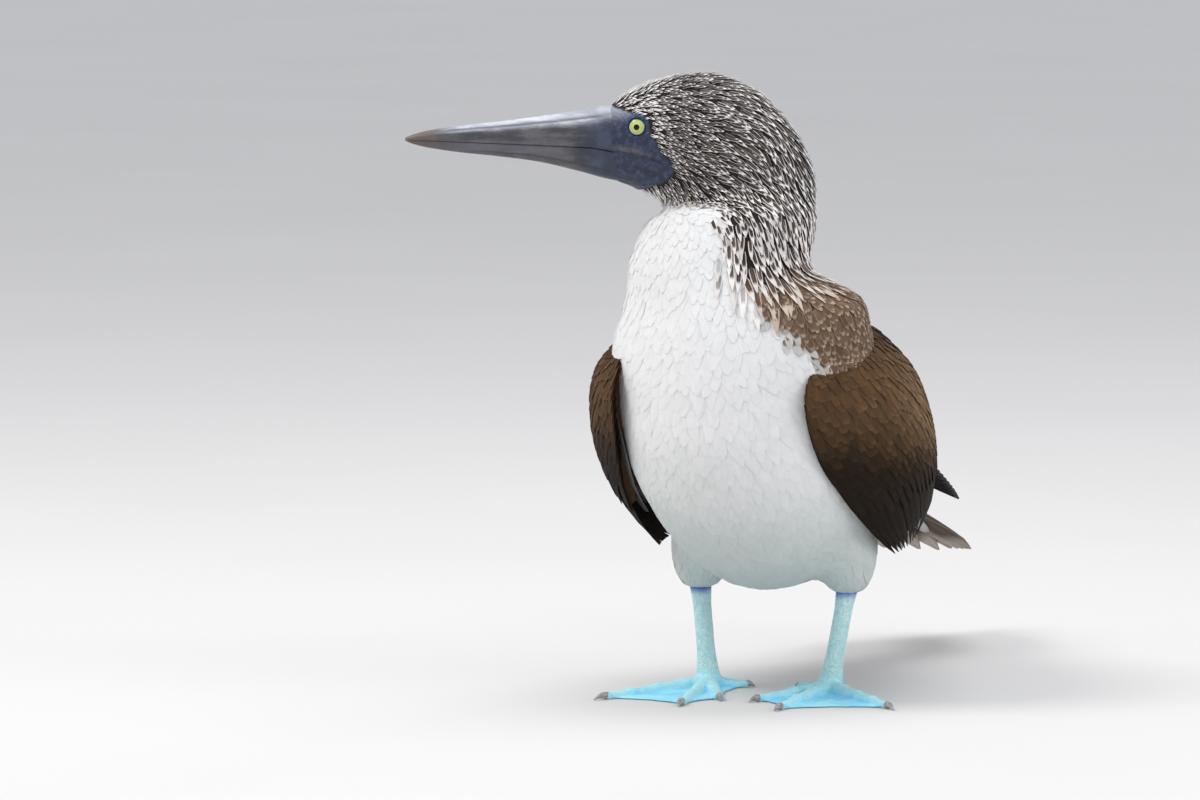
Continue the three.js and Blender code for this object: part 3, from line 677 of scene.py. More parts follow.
coatLooks = {
    "white": {"shine": 0.75, "gloss": 0.1, "barb": 90, "worn": 0.02, "shaft": 0.0, "relief": 0.1},
    "streaked": {"shine": 0.6, "gloss": 0.12, "barb": 60, "worn": 0.12, "shaft": 0.0, "relief": 0.4},
    "mantle": {"shine": 0.6, "gloss": 0.12, "barb": 90, "worn": 0.22, "shaft": 0.25, "relief": 0.5},
    "wing": {"shine": 0.55, "gloss": 0.06, "barb": 240, "worn": 0.28, "shaft": 0.3, "relief": 0.5},
}
coatMaterials = {name: coatFinish(name + "_feathers", **look) for name, look in coatLooks.items()}

coats = {
    # pairs are the smallest and largest in millimetres, rise is the height of the tip over the skin
    "head": {"spacing": (1.5, 3.0), "length": (4.6, 11.5), "width": (1.2, 2.5), "rise": 1.8, "thick": 0.2,
             "sunk": 0.3, "soft": 0.5},
    "neck": {"spacing": (3.0, 4.5), "length": (11.5, 19.5), "width": (2.5, 4.0), "rise": 2.3, "thick": 0.22,
             "sunk": 0.3, "soft": 0.5},
    "breast": {"spacing": (2.4, 3.1), "length": (10.0, 15.0), "width": (4.6, 6.2), "rise": 0.42,
               "thick": 0.05, "sunk": 0.02, "soft": 0.86},
    "mantle": {"spacing": (2.7, 3.3), "length": (9.5, 12.5), "width": (4.4, 5.4), "rise": 1.1,
               "thick": 0.16, "sunk": 0.1, "soft": 0.75},
    "thigh": {"spacing": (1.8, 2.2), "length": (6.5, 8.5), "width": (2.6, 3.2), "rise": 0.4, "thick": 0.06,
              "sunk": 0.05, "soft": 0.94},
}
pointed = [0.6, 0.95, 0.95, 0.7, 0.12]
rounded = [0.5, 0.9, 1.0, 0.85, 0.3]
# how much the feathers of every coat differ, and how they are made
growth = {"rootStray": 0.5, "sway": 0.12, "lengths": (0.85, 1.15), "widths": (0.88, 1.12),
          "rises": (0.75, 1.3), "stations": 5, "mostInOne": 5200, "ridge": 0.5, "cup": 0.7}


def growCoat(name, kind, where, grade, profile, look, material):
    # grade runs from 0 to 1 over the skin and picks sizes between each pair
    size, thick, stations = coats[kind], coats[kind]["thick"], growth["stations"]
    spacing, length, width = (low + (high - low) * grade for low, high in
                              (size["spacing"], size["length"], size["width"]))
    chosen = scatter(skinPoints, spacing, where)
    count = len(chosen)
    roots = skinPoints[chosen] + rng.uniform(-growth["rootStray"], growth["rootStray"], (count, 3))
    lies = unit(lieOf(roots) + rng.normal(0, growth["sway"], (count, 3)))
    lengths = length[chosen] * rng.uniform(*growth["lengths"], count)
    widths = width[chosen] * rng.uniform(*growth["widths"], count)
    rise = size["rise"] * rng.uniform(*growth["rises"], count)
    centres, normals, ways = walk(roots, lies, lengths, stations, rise, size["sunk"])
    shape = outline(profile, stations)
    halves = unit(np.cross(normals, ways)) * (widths[:, None] * shape[None, :] / 2)[:, :, None]
    tint, edge, start = look(roots)
    chance = rng.uniform(0, 1, count)
    places = bodyPlaces(roots)
    share = math.ceil(count / growth["mostInOne"])
    for part, group in enumerate(np.array_split(np.argsort(roots[:, 2]), share)):
        values = {"tint": tint[group], "edge": edge[group], "start": start[group], "chance": chance[group],
                  "ridge": thick * growth["ridge"], "cup": thick * growth["cup"], "thick": thick,
                  "soft": size["soft"]}
        named = name if share == 1 else f"{name}_{part + 1}"
        vanes = (centres[group], halves[group], normals[group])
        piece = feathersFrom(named, *vanes, coatMaterials[material], values, places[group])
        print(named, len(group), "feathers", len(piece.data.polygons), "triangles")


# The feathers' tones, with pairs for the least and most of a chance, and heights or distances to fade between
streaks = {
    "dark": (0.7, 1.3),
    "pale": (0.8, 1.1),
    "warmHeights": (262, 215),
    "warmOnHead": 0.25,
    # low on the neck and far out from its middle the streaks fade into the mantle
    "middle": (-8, -45),
    "fadeOut": (36, 50),
    "fadeHeights": (214, 196),
    "fadeUnder": 228,
    "fadePale": 0.85,
    "fadeDark": 0.8,
    "fadeBrown": (0.5, 0.98),
    # beside the white they turn paler
    "paler": (0.3, 0.8),
    "palerBrown": (0.97, 0.45),
    "palerHeights": (244, 232),
    # the pale tip starts at a share of the length, earlier on the nape and the forehead
    "start": (0.62, 0.8),
    "napeEarlier": 0.16,
    "napeHeights": (268, 240),
    "foreheadEarlier": 0.26,
    "foreheadAhead": (34, 50),
}
# the white feathers get painted shade towards the bottom of the belly, between these heights, darkening more
# in red than in green
whites = {"vary": (0.98, 1.02), "paintedShade": 0.27, "darkHeights": (150, 70), "shadeHue": (1.1, 0.92, 1.0),
          "brownAt": (0.02, 0.7), "brown": (0.2, 0.7), "start": 0.5, "brownStart": 0.3}
mantles = {"vary": (0.75, 1.25), "fringe": (0.7, 1.15), "whiteAt": (0.97, 0.4), "white": 0.75,
           "start": (0.70, 0.82), "whiteEarlier": 0.3}


def allOf(colour, count):
    return np.broadcast_to(colour, (count, 3)).copy()


def varied(colour, pair, count):
    return colour * rng.uniform(*pair, (count, 1))


def streakedLook(roots):
    count, height, brown = len(roots), roots[:, 2], brownBack(roots)
    onHead = streaks["warmOnHead"]
    warm = rng.uniform(0, 1, count) * (onHead + (1 - onHead) * ease(height, *streaks["warmHeights"]))
    dark = varied(blendColour(tone["streakDark"], tone["streakWarm"], warm), streaks["dark"], count)
    pale = varied(tone["streakPale"], streaks["pale"], count)
    middleX, middleY = streaks["middle"]
    outFrom = np.hypot(roots[:, 0] - middleX, roots[:, 1] - middleY)
    fading = np.maximum(ease(outFrom, *streaks["fadeOut"]), ease(height, *streaks["fadeHeights"]))
    fading = fading * (height < streaks["fadeUnder"])
    fringe = streaks["fadePale"] * fading * ease(brown, *streaks["fadeBrown"])
    pale = blendColour(pale, tone["mantleFringe"] * 1.1, fringe)
    dark = blendColour(dark, tone["mantle"], streaks["fadeDark"] * fading)
    nearWhite = ease(brown, *streaks["palerBrown"]) * rng.uniform(*streaks["paler"], count)
    dark = blendColour(dark, tone["whiteShade"], nearWhite * ease(height, *streaks["palerHeights"]))
    nape = ease(height, *streaks["napeHeights"])
    start = rng.uniform(*streaks["start"], count) - streaks["napeEarlier"] * nape
    forehead = ease(headCoordinates(roots)[0], *streaks["foreheadAhead"])
    return dark, pale, start - streaks["foreheadEarlier"] * forehead


def whiteLook(roots):
    count = len(roots)
    # painted shade: the white turns darker and grey-green towards the bottom
    low = 1 - whites["paintedShade"] * ease(roots[:, 2], *whites["darkHeights"])[:, None] * np.array(whites["shadeHue"])
    body = varied(tone["whiteShade"] * low, whites["vary"], count)
    nearBrown = ease(brownBack(roots), *whites["brownAt"]) * rng.uniform(*whites["brown"], count)
    body = blendColour(body, tone["mantleFringe"], nearBrown)
    fringe = varied(tone["white"] * low, whites["vary"], count)
    return body, fringe, np.full(count, whites["start"]) + whites["brownStart"] * nearBrown


def mantleLook(roots):
    count = len(roots)
    body = varied(tone["mantle"], mantles["vary"], count)
    nearWhite = ease(brownBack(roots), *mantles["whiteAt"])
    fringe = varied(tone["mantleFringe"], mantles["fringe"], count)
    fringe = blendColour(fringe, tone["whiteShade"], mantles["white"] * nearWhite)
    return body, fringe, rng.uniform(*mantles["start"], count) - mantles["whiteEarlier"] * nearWhite


# Where each coat grows; the borders stray a little
zones = {
    "wobble": 3.5,
    "bareFrom": 0.75,
    "thighUnder": 66,
    "thighApart": 22,
    "headOver": 246,
    "neckMiddle": (-8, -45),
    "neckRadius": 47,
    "radiusStray": 1.6,
    "mantleUnder": 226,
    "neckOver": 198,
    "heightStray": 2.5,
    # the bill's socket stays bare
    "socketAhead": 60,
    "socketHalf": 11.5,
    "socketHeights": (262, 299),
    # from where to where each coat's feathers change in size
    "headSizes": (-24, 50),
    "neckSizes": (205, 246),
    "breastSizes": (190, 240),
    "mantleSizes": (190, 120),
}
wobble = rng.normal(0, zones["wobble"], len(skinPoints))
feathered = faceHere < zones["bareFrom"]
brownMask = (brownBack(skinPoints, wobble) > 0.5) & feathered
ahead, side, height = headCoordinates(skinPoints)
thighs = np.abs(skinPoints[:, 0] - bird["legsMiddle"]) > zones["thighApart"]
thighs &= height < zones["thighUnder"]
headZone = brownMask & (height > zones["headOver"])
fromNeck = np.hypot(*(skinPoints[:, :2] - zones["neckMiddle"]).T)
fromNeck = fromNeck + rng.normal(0, zones["radiusStray"], len(skinPoints))
lowest = height < zones["neckOver"] + rng.normal(0, zones["heightStray"], len(skinPoints))
shoulders = (height < zones["mantleUnder"]) & (fromNeck > zones["neckRadius"])
mantleZone = brownMask & (lowest | shoulders) & ~headZone
neckZone = brownMask & ~mantleZone & ~headZone
breastZone = ~brownMask & feathered & ~thighs
socketLow, socketHigh = zones["socketHeights"]
socket = (ahead > zones["socketAhead"]) & (np.abs(side) < zones["socketHalf"])
socket &= (height > socketLow) & (height < socketHigh)
largest = np.ones(len(skinPoints))
headGrade = 1 - ease(ahead, *zones["headSizes"])
neckGrade = 1 - ease(height, *zones["neckSizes"])
breastGrade = 1 - ease(height, *zones["breastSizes"])
mantleGrade = ease(height, *zones["mantleSizes"])
growCoat("coat_head", "head", headZone & ~socket, headGrade, pointed, streakedLook, "streaked")
growCoat("coat_neck", "neck", neckZone, neckGrade, pointed, streakedLook, "streaked")
growCoat("coat_breast", "breast", breastZone, breastGrade, rounded, whiteLook, "white")
growCoat("coat_mantle", "mantle", mantleZone & ~thighs, mantleGrade, rounded, mantleLook, "mantle")
growCoat("coat_thighs", "thigh", thighs, largest, rounded, whiteLook, "white")


# Smooth forms from rows of sections
def between(rows, share):
    rows = np.asarray(rows, dtype=float)
    last = len(rows) - 1
    share = np.asarray(share, dtype=float) * last
    k = np.clip(np.floor(share).astype(int), 0, last - 1)
    t = (share - k)[..., None]
    a, b, c, d = (rows[np.clip(k + i, 0, last)] for i in (-1, 0, 1, 2))
    return 0.5 * (2 * b + (c - a) * t + (2 * a - 5 * b + 4 * c - d) * t**2 + (3 * b - a - 3 * c + d) * t**3)


def tube(rings):
    # points and triangles of a closed tube over rings of points, the same number in each
    steps, count, _ = rings.shape
    points = list(rings.reshape(-1, 3))
    faces = []
    for i in range(steps - 1):
        for k in range(count):
            a, b = i * count + k, i * count + (k + 1) % count
            faces.append([a, b, b + count])
            faces.append([a, b + count, a + count])
    for ring, flip in ((0, True), (steps - 1, False)):
        points.append(rings[ring].mean(axis=0))
        middle = len(points) - 1
        for k in range(count):
            a, b = ring * count + k, ring * count + (k + 1) % count
            faces.append([middle, b, a] if flip else [middle, a, b])
    return np.array(points), np.array(faces)


def outward(points, faces):
    # faces turned so that the closed form is the right way out
    a, b, c = (points[faces[:, k]] for k in range(3))
    volume = np.einsum("ij,ij->i", a, np.cross(b, c)).sum()
    return faces if volume > 0 else faces[:, ::-1]


def formed(name, points, faces, material, slotName, *replaced):
    mesh = meshFrom(name, toScene(points), outward(points, faces))
    piece = addObject(name, mesh, material)
    if replaced:
        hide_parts(*replaced)
    return piece


# Wings
wing = {
    "net": [
        [[47, -58, 183], [47, -82, 159], [49, -72, 131], [54, -46, 106], [57, -12, 86], [58, 20, 71]],
        [[50, -4, 189], [72, -8, 168], [79, 2, 143], [77, 22, 118], [68, 48, 95], [53, 78, 80]],
        [[30, 56, 178], [33, 84, 154], [31, 108, 136], [28, 132, 121], [24, 158, 109], [20, 188, 98]],
    ],
    "spread": {1: 0, -1: 7},
    # the wing's own body under its feathers
    "thick": 17,
    "thin": 3.0,
    "bedTo": 0.7,
    "bedFront": (0.02, 0.98),
    "bedUnder": 0.4,
    "bedThinnerDown": 0.9,
    "bedThinnerBack": 0.45,
    "bedSteps": (20, 22),
    # how its vanes lie
    "lean": 0.42,
    "sunk": 1.5,
    "stray": 0.14,
    "risenAt": 0.4,
    "risen": 0.45,
    "flat": 0.35,
    "toneBelowRoot": 0.06,
    "vane": {"ridge": 0.35, "cup": 0.03, "thick": 0.4, "soft": 0.75},
}
wingTones = {
    # middle and half width of the painted sheen, a warm painted highlight, from front to back and from the
    # shoulder down
    "sheen": 0.75,
    "sheenFront": (0.62, 0.27),
    "sheenDown": (0.3, 0.17),
    "shoulder": 0.8,
    "shoulderDown": (0.02, 0.15),
    # near black along the lower front: the flight feathers' colour, deepened by painted shade
    "dark": 0.93,
    "darkDown": (0.34, 0.60),
    "darkSlope": 0.35,
    "vary": (0.9, 1.1),
}
wingOutlines = {
    "scale": [0.7, 0.95, 1.0, 0.9, 0.45],
    "covert": [0.6, 0.85, 1.0, 1.0, 0.9, 0.4],
    "secondary": [0.6, 0.9, 1.0, 0.98, 0.9, 0.75, 0.22],
    "flight": [0.35, 0.8, 0.95, 1.0, 0.98, 0.8, 0.12],
}


def wingPlace(side, front, down):
    # front runs from the leading edge to the back, down from the shoulder to the tips
    front, down = np.broadcast_arrays(np.asarray(front, dtype=float), np.asarray(down, dtype=float))
    weights = (2 * (front - 0.5) * (front - 1), -4 * front * (front - 1), 2 * front * (front - 0.5))
    place = sum(between(row, down) * weight[..., None] for row, weight in zip(wing["net"], weights))
    x = side * (place[..., 0] + wing["spread"][side])
    return np.stack([x, place[..., 1], place[..., 2]], axis=-1)


def wingOut(side, front, down):
    step = 0.02
    front, down = np.broadcast_arrays(np.clip(front, 0, 1 - step), np.clip(down, 0, 1 - step))
    here = wingPlace(side, front, down)
    alongFront = wingPlace(side, front + step, down) - here
    alongDown = wingPlace(side, front, down + step) - here
    return unit(np.cross(alongDown, alongFront) * side)


def wingTier(side, tier, look):
    # a row of vanes laid over the wing, each with its front edge over the one before it
    count, stations = tier["count"], 9
    space = (tier["last"] - tier["first"]) / (count - 1)
    row = np.arange(count) + tier.get("shift", 0) + rng.uniform(-wing["stray"], wing["stray"], count)
    front = tier["first"] + space * row
    reach = tier["tip"] + rng.uniform(-1, 1, count) * tier.get("ragged", 0)
    shares = np.linspace(0, 1, stations)
    down = tier["root"] + (reach[:, None] - tier["root"]) * shares[None, :]
    front = np.broadcast_to(front[:, None], down.shape)
    wide = outline(wingOutlines[tier["shape"]], stations)[None, :] * space * tier.get("overlap", 1.75) / 2
    out = wingOut(side, front, down)
    face = tier.get("face", 1)
    lift = tier["lift"]
    rising = np.interp(shares, [0, wing["risenAt"], 1], [-wing["sunk"], lift * wing["risen"], lift])
    high = (rising[None, :] * face + tier.get("offset", 0))[..., None]
    middle = wingPlace(side, np.clip(front, 0, 1), down) + out * high
    fore = wingPlace(side, np.clip(front - wide, 0, 1), down) + out * (high + wing["lean"] * face)
    rear = wingPlace(side, np.clip(front + wide, 0, 1), down) + out * (high - wing["lean"] * face)
    tint, edge, start = look(front[:, 0], tier.get("toneAt", tier["root"] + wing["toneBelowRoot"]), count)
    # the left wing has the left half of the bake, the right wing the other
    acrossBake = (0.0 if side > 0 else 0.5) + 0.03 + 0.42 * np.clip(front[:, 0], 0, 1)
    centres = (fore + rear) / 2 * wing["flat"] + middle * (1 - wing["flat"])
    return {"centres": centres, "halves": (fore - rear) / 2, "normals": out * face,
            "places": np.stack([acrossBake, 0.05 + 0.85 * down[:, 0]], axis=1),
            "tint": tint, "edge": edge, "start": start, "chance": rng.uniform(0, 1, count)}


def joinTiers(name, tiers, material):
    whole = {key: np.concatenate([tier[key] for tier in tiers]) for key in tiers[0]}
    vanes = (whole["centres"], whole["halves"], whole["normals"])
    piece = feathersFrom(name, *vanes, material, {**whole, **wing["vane"]}, whole["places"], 5)
    print(name, len(whole["places"]), "feathers", len(piece.data.polygons), "triangles")
    return piece


def wingTint(front, down, count):
    # dark at the shoulder, a warm painted sheen over the middle, near black along the lower front: the flight
    # feathers' own dark colour, deepened by painted shade
    brown = varied(allOf(tone["wing"], count), wingTones["vary"], count)
    (sheenFront, sheenLong), (sheenDown, sheenTall) = wingTones["sheenFront"], wingTones["sheenDown"]
    sheen = np.exp(-(((front - sheenFront) / sheenLong) ** 2) - (((down - sheenDown) / sheenTall) ** 2))
    # painted sheen: a warm painted highlight over the middle
    brown = blendColour(brown, tone["wingPaintedSheen"], wingTones["sheen"] * sheen)
    shoulder = wingTones["shoulder"] * (1 - ease(down, *wingTones["shoulderDown"]))
    brown = blendColour(brown, tone["wingShoulder"], np.full(count, shoulder))
    # the flight feathers' colour with painted shade along the lower front
    low = ease(down + wingTones["darkSlope"] * (0.5 - front), *wingTones["darkDown"])
    return blendColour(brown, tone["flight"], wingTones["dark"] * low)


def covertLook(front, down, count):
    body = wingTint(front, down, count)
    return body, varied(body, (1.15, 1.5), count), rng.uniform(0.8, 0.9, count)


def secondaryLook(front, down, count):
    body = wingTint(front, down, count) * 0.85
    return body, body * 1.5, rng.uniform(0.86, 0.92, count)


def underLook(front, down, count):
    pale = varied(tone["underWing"], (0.3, 1.0), count)
    return pale * 0.6, pale, rng.uniform(0.5, 0.7, count)


wingRows = {
    "secondaries": {"root": 0.325, "tip": 0.99, "count": 22, "lift": 1.2, "first": 0.025, "last": 0.97,
                    "shape": "secondary", "overlap": 2.0, "toneAt": 0.66},
    "greater": {"root": 0.36, "tip": 0.70, "count": 24, "lift": 1.6, "first": 0.03, "last": 0.95,
                "shape": "covert", "ragged": 0.03, "toneAt": 0.54},
    "under": {"root": 0.3, "tip": 0.8, "count": 15, "lift": 1.2, "first": 0.05, "last": 0.8,
              "shape": "covert", "face": -1, "offset": -wing["thin"] - 1.5},
}
# small coverts in rows, longer and longer down the wing
lesser = {"rows": 24, "step": 0.0195, "length": (0.085, 0.17), "count": (29, 25), "lift": (1.8, 1.6)}
for side, sideName in ((1, "left"), (-1, "right")):
    tiers = [wingTier(side, wingRows["secondaries"], secondaryLook)]
    tiers.append(wingTier(side, wingRows["greater"], covertLook))
    for k in reversed(range(lesser["rows"])):
        share = k / (lesser["rows"] - 1)
        length, count, lift = (low + (high - low) * share for low, high in
                               (lesser["length"], lesser["count"], lesser["lift"]))
        root = lesser["step"] * k
        row = {"root": root, "tip": root + length, "count": round(count), "lift": lift, "first": 0.0,
               "last": 0.955, "shape": "scale", "ragged": 0.2 * length, "shift": 0.5 * (k % 2)}
        tiers.append(wingTier(side, row, covertLook))
    tiers.append(wingTier(side, wingRows["under"], underLook))
    piece = joinTiers("wing_feathers_" + sideName, tiers, coatMaterials["wing"])
    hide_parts("wing_" + sideName)

    across, steps = wing["bedSteps"]
    front = np.linspace(*wing["bedFront"], across + 1)[:, None] * np.ones(steps + 1)
    down = np.linspace(0.0, wing["bedTo"], steps + 1)[None, :] * np.ones((across + 1, 1))
    bulk = np.maximum(0, 1 - wing["bedThinnerDown"] * down / wing["bedTo"])
    bulk = bulk * (1 - wing["bedThinnerBack"] * front)
    out = wingOut(side, front, down)
    outer = wingPlace(side, front, down) - out * wing["bedUnder"]
    inner = outer - out * (wing["thin"] + (wing["thick"] - wing["thin"]) * bulk)[..., None]
    rings = np.concatenate([outer, inner[:, ::-1]], axis=1)
    bed = formed("wing_bed_" + sideName, *tube(rings), coatMaterials["wing"], "plumage_wing")
    for key in ("tint", "edge"):
        paint(bed.data, key, allOf(tone["wing"], len(bed.data.vertices)))
print("wings")


# Long feathers at the wing's tip, in a bundle that runs over the root of the tail
primary = {
    "count": 10,
    "root": 0.26,
    "width": 15.5,
    "stagger": 0.038,
    "across": 1.2,
    "stack": 0.9,
    "gather": 0.55,
    "depth": 3.5,
    # the line that they follow: places on the wing, then open points
    "under": [[0.45, 0.46], [0.72, 0.62], [0.97, 0.82]],
    "open": [[17, 226, 90], [8, 286, 79]],
    "tilt": (0.62, 0.78),
    "vary": (0.85, 1.2),
    "vane": {"ridge": 0.35, "cup": 0.03, "thick": 0.42},
}


def bundle(side, stations):
    # vanes on one line, side by side and over each other
    line = [wingPlace(side, front, down) - wingOut(side, front, down) * primary["depth"]
            for front, down in primary["under"]]
    line += [np.array([side * x, y, z]) for x, y, z in primary["open"]]
    flat, steep = primary["tilt"]
    face, across = unit(np.array([side * flat, 0, steep])), unit(np.array([side * steep, 0, -flat]))
    count = primary["count"]
    tips = 1 - primary["stagger"] * (count - 1 - np.arange(count))
    shares = np.linspace(0, 1, stations)
    at = primary["root"] + (tips[:, None] - primary["root"]) * shares[None, :]
    fromMiddle = np.arange(count) - (count - 1) / 2
    beside = fromMiddle[:, None] * primary["across"] * (1 - primary["gather"] * shares)[None, :]
    under = face * (fromMiddle * primary["stack"])[:, None, None]
    centres = between(np.array(line), at) + across * beside[..., None] - under
    wide = outline(wingOutlines["flight"], stations) * primary["width"] / 2
    halves = across * (np.ones(count)[:, None] * wide[None, :])[..., None]
    return centres, halves, np.broadcast_to(face, centres.shape)


for side, sideName in ((1, "left"), (-1, "right")):
    count = primary["count"]
    vanes = bundle(side, 12)
    dark = varied(tone["flight"], primary["vary"], count)
    values = {"tint": dark, "edge": dark * 1.3, "start": np.full(count, 0.9),
              "chance": rng.uniform(0, 1, count), **primary["vane"]}
    places = np.stack([0.05 + 0.04 * np.arange(count) + 0.5 * (side < 0), np.full(count, 0.95)], axis=1)
    piece = feathersFrom("primaries_" + sideName, *vanes, coatMaterials["wing"], values, places, 5)
print("primaries")

# Tail
tail = {
    "pairs": 7,
    "centre": 172,
    "outer": 106,
    "width": 18,
    "spread": 12.5,
    "apart": (3.5, 1.6),
    "rootAt": 10,
    "top": 5,
    "slope": -17,
    "droop": 5.0,
    # the bed under the feathers
    "y": 112,
    "z": 99,
    "reach": 42,
    "rootWidth": 20,
    "tipWidth": 13,
    "depth": 8,
    "tipDepth": 2.0,
    "round": 24,
    "rings": np.linspace(-0.5, 1, 9),
    "vane": {"ridge": 0.4, "cup": 0.03, "thick": 0.45},
}
# rows of coverts: where they start, their length and number, and how far over the tail's line they lie
tailCoverts = {
    "over": {"rows": ((26, 44, 6, 7.0), (14, 40, 7, 8.0), (2, 36, 7, 8.6), (-8, 30, 6, 9.4)),
             "width": 12, "beside": 36, "edge": -7},
    "under": {"rows": ((22, 52, 6, -9.5), (8, 48, 7, -9.5), (-6, 44, 7, -10.5), (-20, 40, 7, -12)),
              "width": 13, "beside": 38, "edge": 7},
    "stray": 0.04,
    "fanned": 26,
}
tailSlope = math.tan(math.radians(tail["slope"]))
tailUp = unit(np.array([0, -tailSlope, 1]))


def fan(degrees, length, offset, rootAt, lift, width, shape):
    heading = unit(np.array([math.sin(math.radians(degrees)), math.cos(math.radians(degrees)), tailSlope]))
    across = unit(np.array([heading[1], -heading[0], 0]))
    stations = 12
    shares = np.linspace(0, 1, stations)[:, None]
    start = np.array([offset, tail["y"] + rootAt, tail["z"] + rootAt * tailSlope + lift])
    centres = start + heading * (length * shares) - np.array([0, 0, tail["droop"]]) * shares**2
    halves = across * (outline(wingOutlines[shape], stations) * width / 2)[:, None]
    return centres, halves, np.broadcast_to(tailUp, centres.shape)


def covertVanes(coverts):
    vanes = []
    for rowAt, length, count, lift in coverts["rows"]:
        for k in range(count):
            aside = (k + 0.5) / count - 0.5 + rng.uniform(-tailCoverts["stray"], tailCoverts["stray"])
            vanes.append(fan(aside * tailCoverts["fanned"], length, aside * coverts["beside"], rowAt,
                             lift + coverts["edge"] * abs(aside), coverts["width"], "covert"))
    return vanes


def tailPiece(name, vanes, tint, edge, start):
    centres, halves, normals = (np.stack(list(group)) for group in zip(*vanes))
    count = len(centres)
    values = {"tint": varied(tint, (0.85, 1.15), count), "edge": varied(edge, (0.9, 1.1), count),
              "start": np.full(count, start), "chance": rng.uniform(0, 1, count), **tail["vane"]}
    places = np.stack([0.5 + centres[:, 0, 0] / 100, 0.05 + np.arange(count) * 0.9 / count], axis=1)
    piece = feathersFrom(name, centres, halves, normals, coatMaterials["wing"], values, places, 5)
    return piece


vanes = []
for pair in range(tail["pairs"]):
    for side in (1, -1):
        share = pair / (tail["pairs"] - 1)
        length = tail["centre"] + (tail["outer"] - tail["centre"]) * share
        first, step = tail["apart"]
        lift = tail["top"] - 1.0 * (2 * pair + (side < 0))
        vanes.append(fan(side * tail["spread"] * share, length, side * (first + step * pair), tail["rootAt"],
                         lift, tail["width"], "flight"))
tailFeathers = tailPiece("tail_feathers", vanes, tone["tail"], tone["tailPale"], 0.74)
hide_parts("tail")
tailPiece("tail_coverts", covertVanes(tailCoverts["over"]), tone["mantle"], tone["mantleFringe"], 0.8)
vanes = [(centres, -halves, -normals) for centres, halves, normals in covertVanes(tailCoverts["under"])]
tailPiece("tail_under_coverts", vanes, tone["whiteShade"], tone["white"], 0.5)
angles = np.linspace(0, 2 * math.pi, tail["round"], endpoint=False)
rings = []
for share in tail["rings"]:
    centre = np.array([0, tail["y"] + tail["reach"] * share, tail["z"] + tail["reach"] * share * tailSlope])
    width = tail["rootWidth"] + (tail["tipWidth"] - tail["rootWidth"]) * share
    thick = tail["depth"] + (tail["tipDepth"] - tail["depth"]) * share
    across = np.outer(np.cos(angles) * width, [1, 0, 0])
    rings.append(centre + across + np.outer(np.sin(angles) * thick, tailUp))
tailBed = formed("tail_bed", *tube(np.array(rings)), coatMaterials["mantle"], "plumage_tail")
for key in ("tint", "edge"):
    paint(tailBed.data, key, allOf(tone["mantle"], len(tailBed.data.vertices)))
print("tail")

# Bill
bill = {
    # ahead of the neck's axis, top, bottom and half width
    "sections": [[60, 300.6, 261, 11.2], [70, 299, 263, 10.6], [84, 296.3, 266.8, 9.4],
                 [102, 293.8, 271, 8], [122, 291.2, 273.7, 6.5], [142, 289, 275.8, 5],
                 [157, 286.8, 278, 3.6], [165, 284.7, 279.9, 2.3], [169, 283.1, 281.6, 0.9]],
    "gape": ([56, 60, 66, 76, 90, 120, 150, 172], [275.2, 275.6, 276.8, 278.6, 279.2, 280.3, 281.4, 282]),
    "steps": 150,
    "round": 56,
    "boxed": 0.88,           # under 1 the sides are flatter than an ellipse's
    "openUp": 0.1,
    "openDown": 0.12,
    "tucked": 0.045,         # the lower half goes in under the upper one
    "tuckedFrom": 2.0,
    # a groove runs along each half
    "upperGroove": {"share": 0.19, "under": 0.4, "wide": 0.55, "deep": 0.5,
                    "from": (66, 74), "to": (142, 160)},
    "lowerGroove": {"over": ([58, 64, 90, 113, 140], [4.6, 5.2, 3.6, 2.7, 1.6]), "wide": 0.5, "deep": 0.4,
                    "from": (62, 70), "to": (120, 145)},
}
billColours = {
    "grey": ((0.032, 0.033, 0.04), (0.10, 0.095, 0.103)),
    # ridge: a painted highlight along the top of the bill, a painted reflection of the sky
    "ridge": ((0.36, 0.38, 0.45), (0.62, 0.64, 0.70)),
    "slate": ((0.019, 0.027, 0.055), (0.042, 0.058, 0.105)),
    "lower": (0.15, 0.145, 0.17),
    "tip": (0.12, 0.085, 0.065),
    # groove: painted shade in the grooves along each half
    "groove": (0.02, 0.022, 0.028),
}


def billRings(upper):
    groove = bill["upperGroove" if upper else "lowerGroove"]
    count = bill["round"]
    rings, marks = [], []
    for ahead, top, bottom, halfWidth in between(bill["sections"], np.linspace(0, 1, bill["steps"])):
        centre, reach = (top + bottom) / 2, (top - bottom) / 2
        line = np.interp(ahead, *bill["gape"])
        start = math.asin(np.clip((line - centre) / reach, -0.95, 0.95))
        ends = (start, math.pi - start) if upper else (-math.pi - start, start)
        angles = np.linspace(*ends, count)
        sideways = np.cos(angles)
        across = np.sign(sideways) * np.abs(sideways) ** bill["boxed"] * halfWidth
        heights = centre + np.sin(angles) * reach
        if upper:
            grooveAt = top - groove["share"] * (top - line) - groove["under"]
        else:
            grooveAt = bottom + np.interp(ahead, *groove["over"])
        dent = crease(heights - grooveAt, groove["wide"]) * ease(ahead, *groove["from"])
        dent = dent * (1 - ease(ahead, *groove["to"]))
        across -= np.sign(across) * dent * groove["deep"]
        if upper:
            heights = np.maximum(heights, line + bill["openUp"])
        else:
            across *= 1 - bill["tucked"] * ease(heights, line - bill["tuckedFrom"], line)
            heights = np.minimum(heights, line - bill["openDown"])
        rings.append(neckFoot + np.outer(np.full(count, ahead), beakLine)
                     + np.outer(across, headSide) + np.outer(heights, [0, 0, 1]))
        share = (heights - bottom) / (top - bottom)
        marks.append(np.stack([np.full(count, ahead), share, dent], axis=1))
    rings, marks = np.array(rings), np.array(marks)
    ends = np.array([marks[0].mean(axis=0), marks[-1].mean(axis=0)])
    return *tube(rings), np.concatenate([marks.reshape(-1, 3), ends])


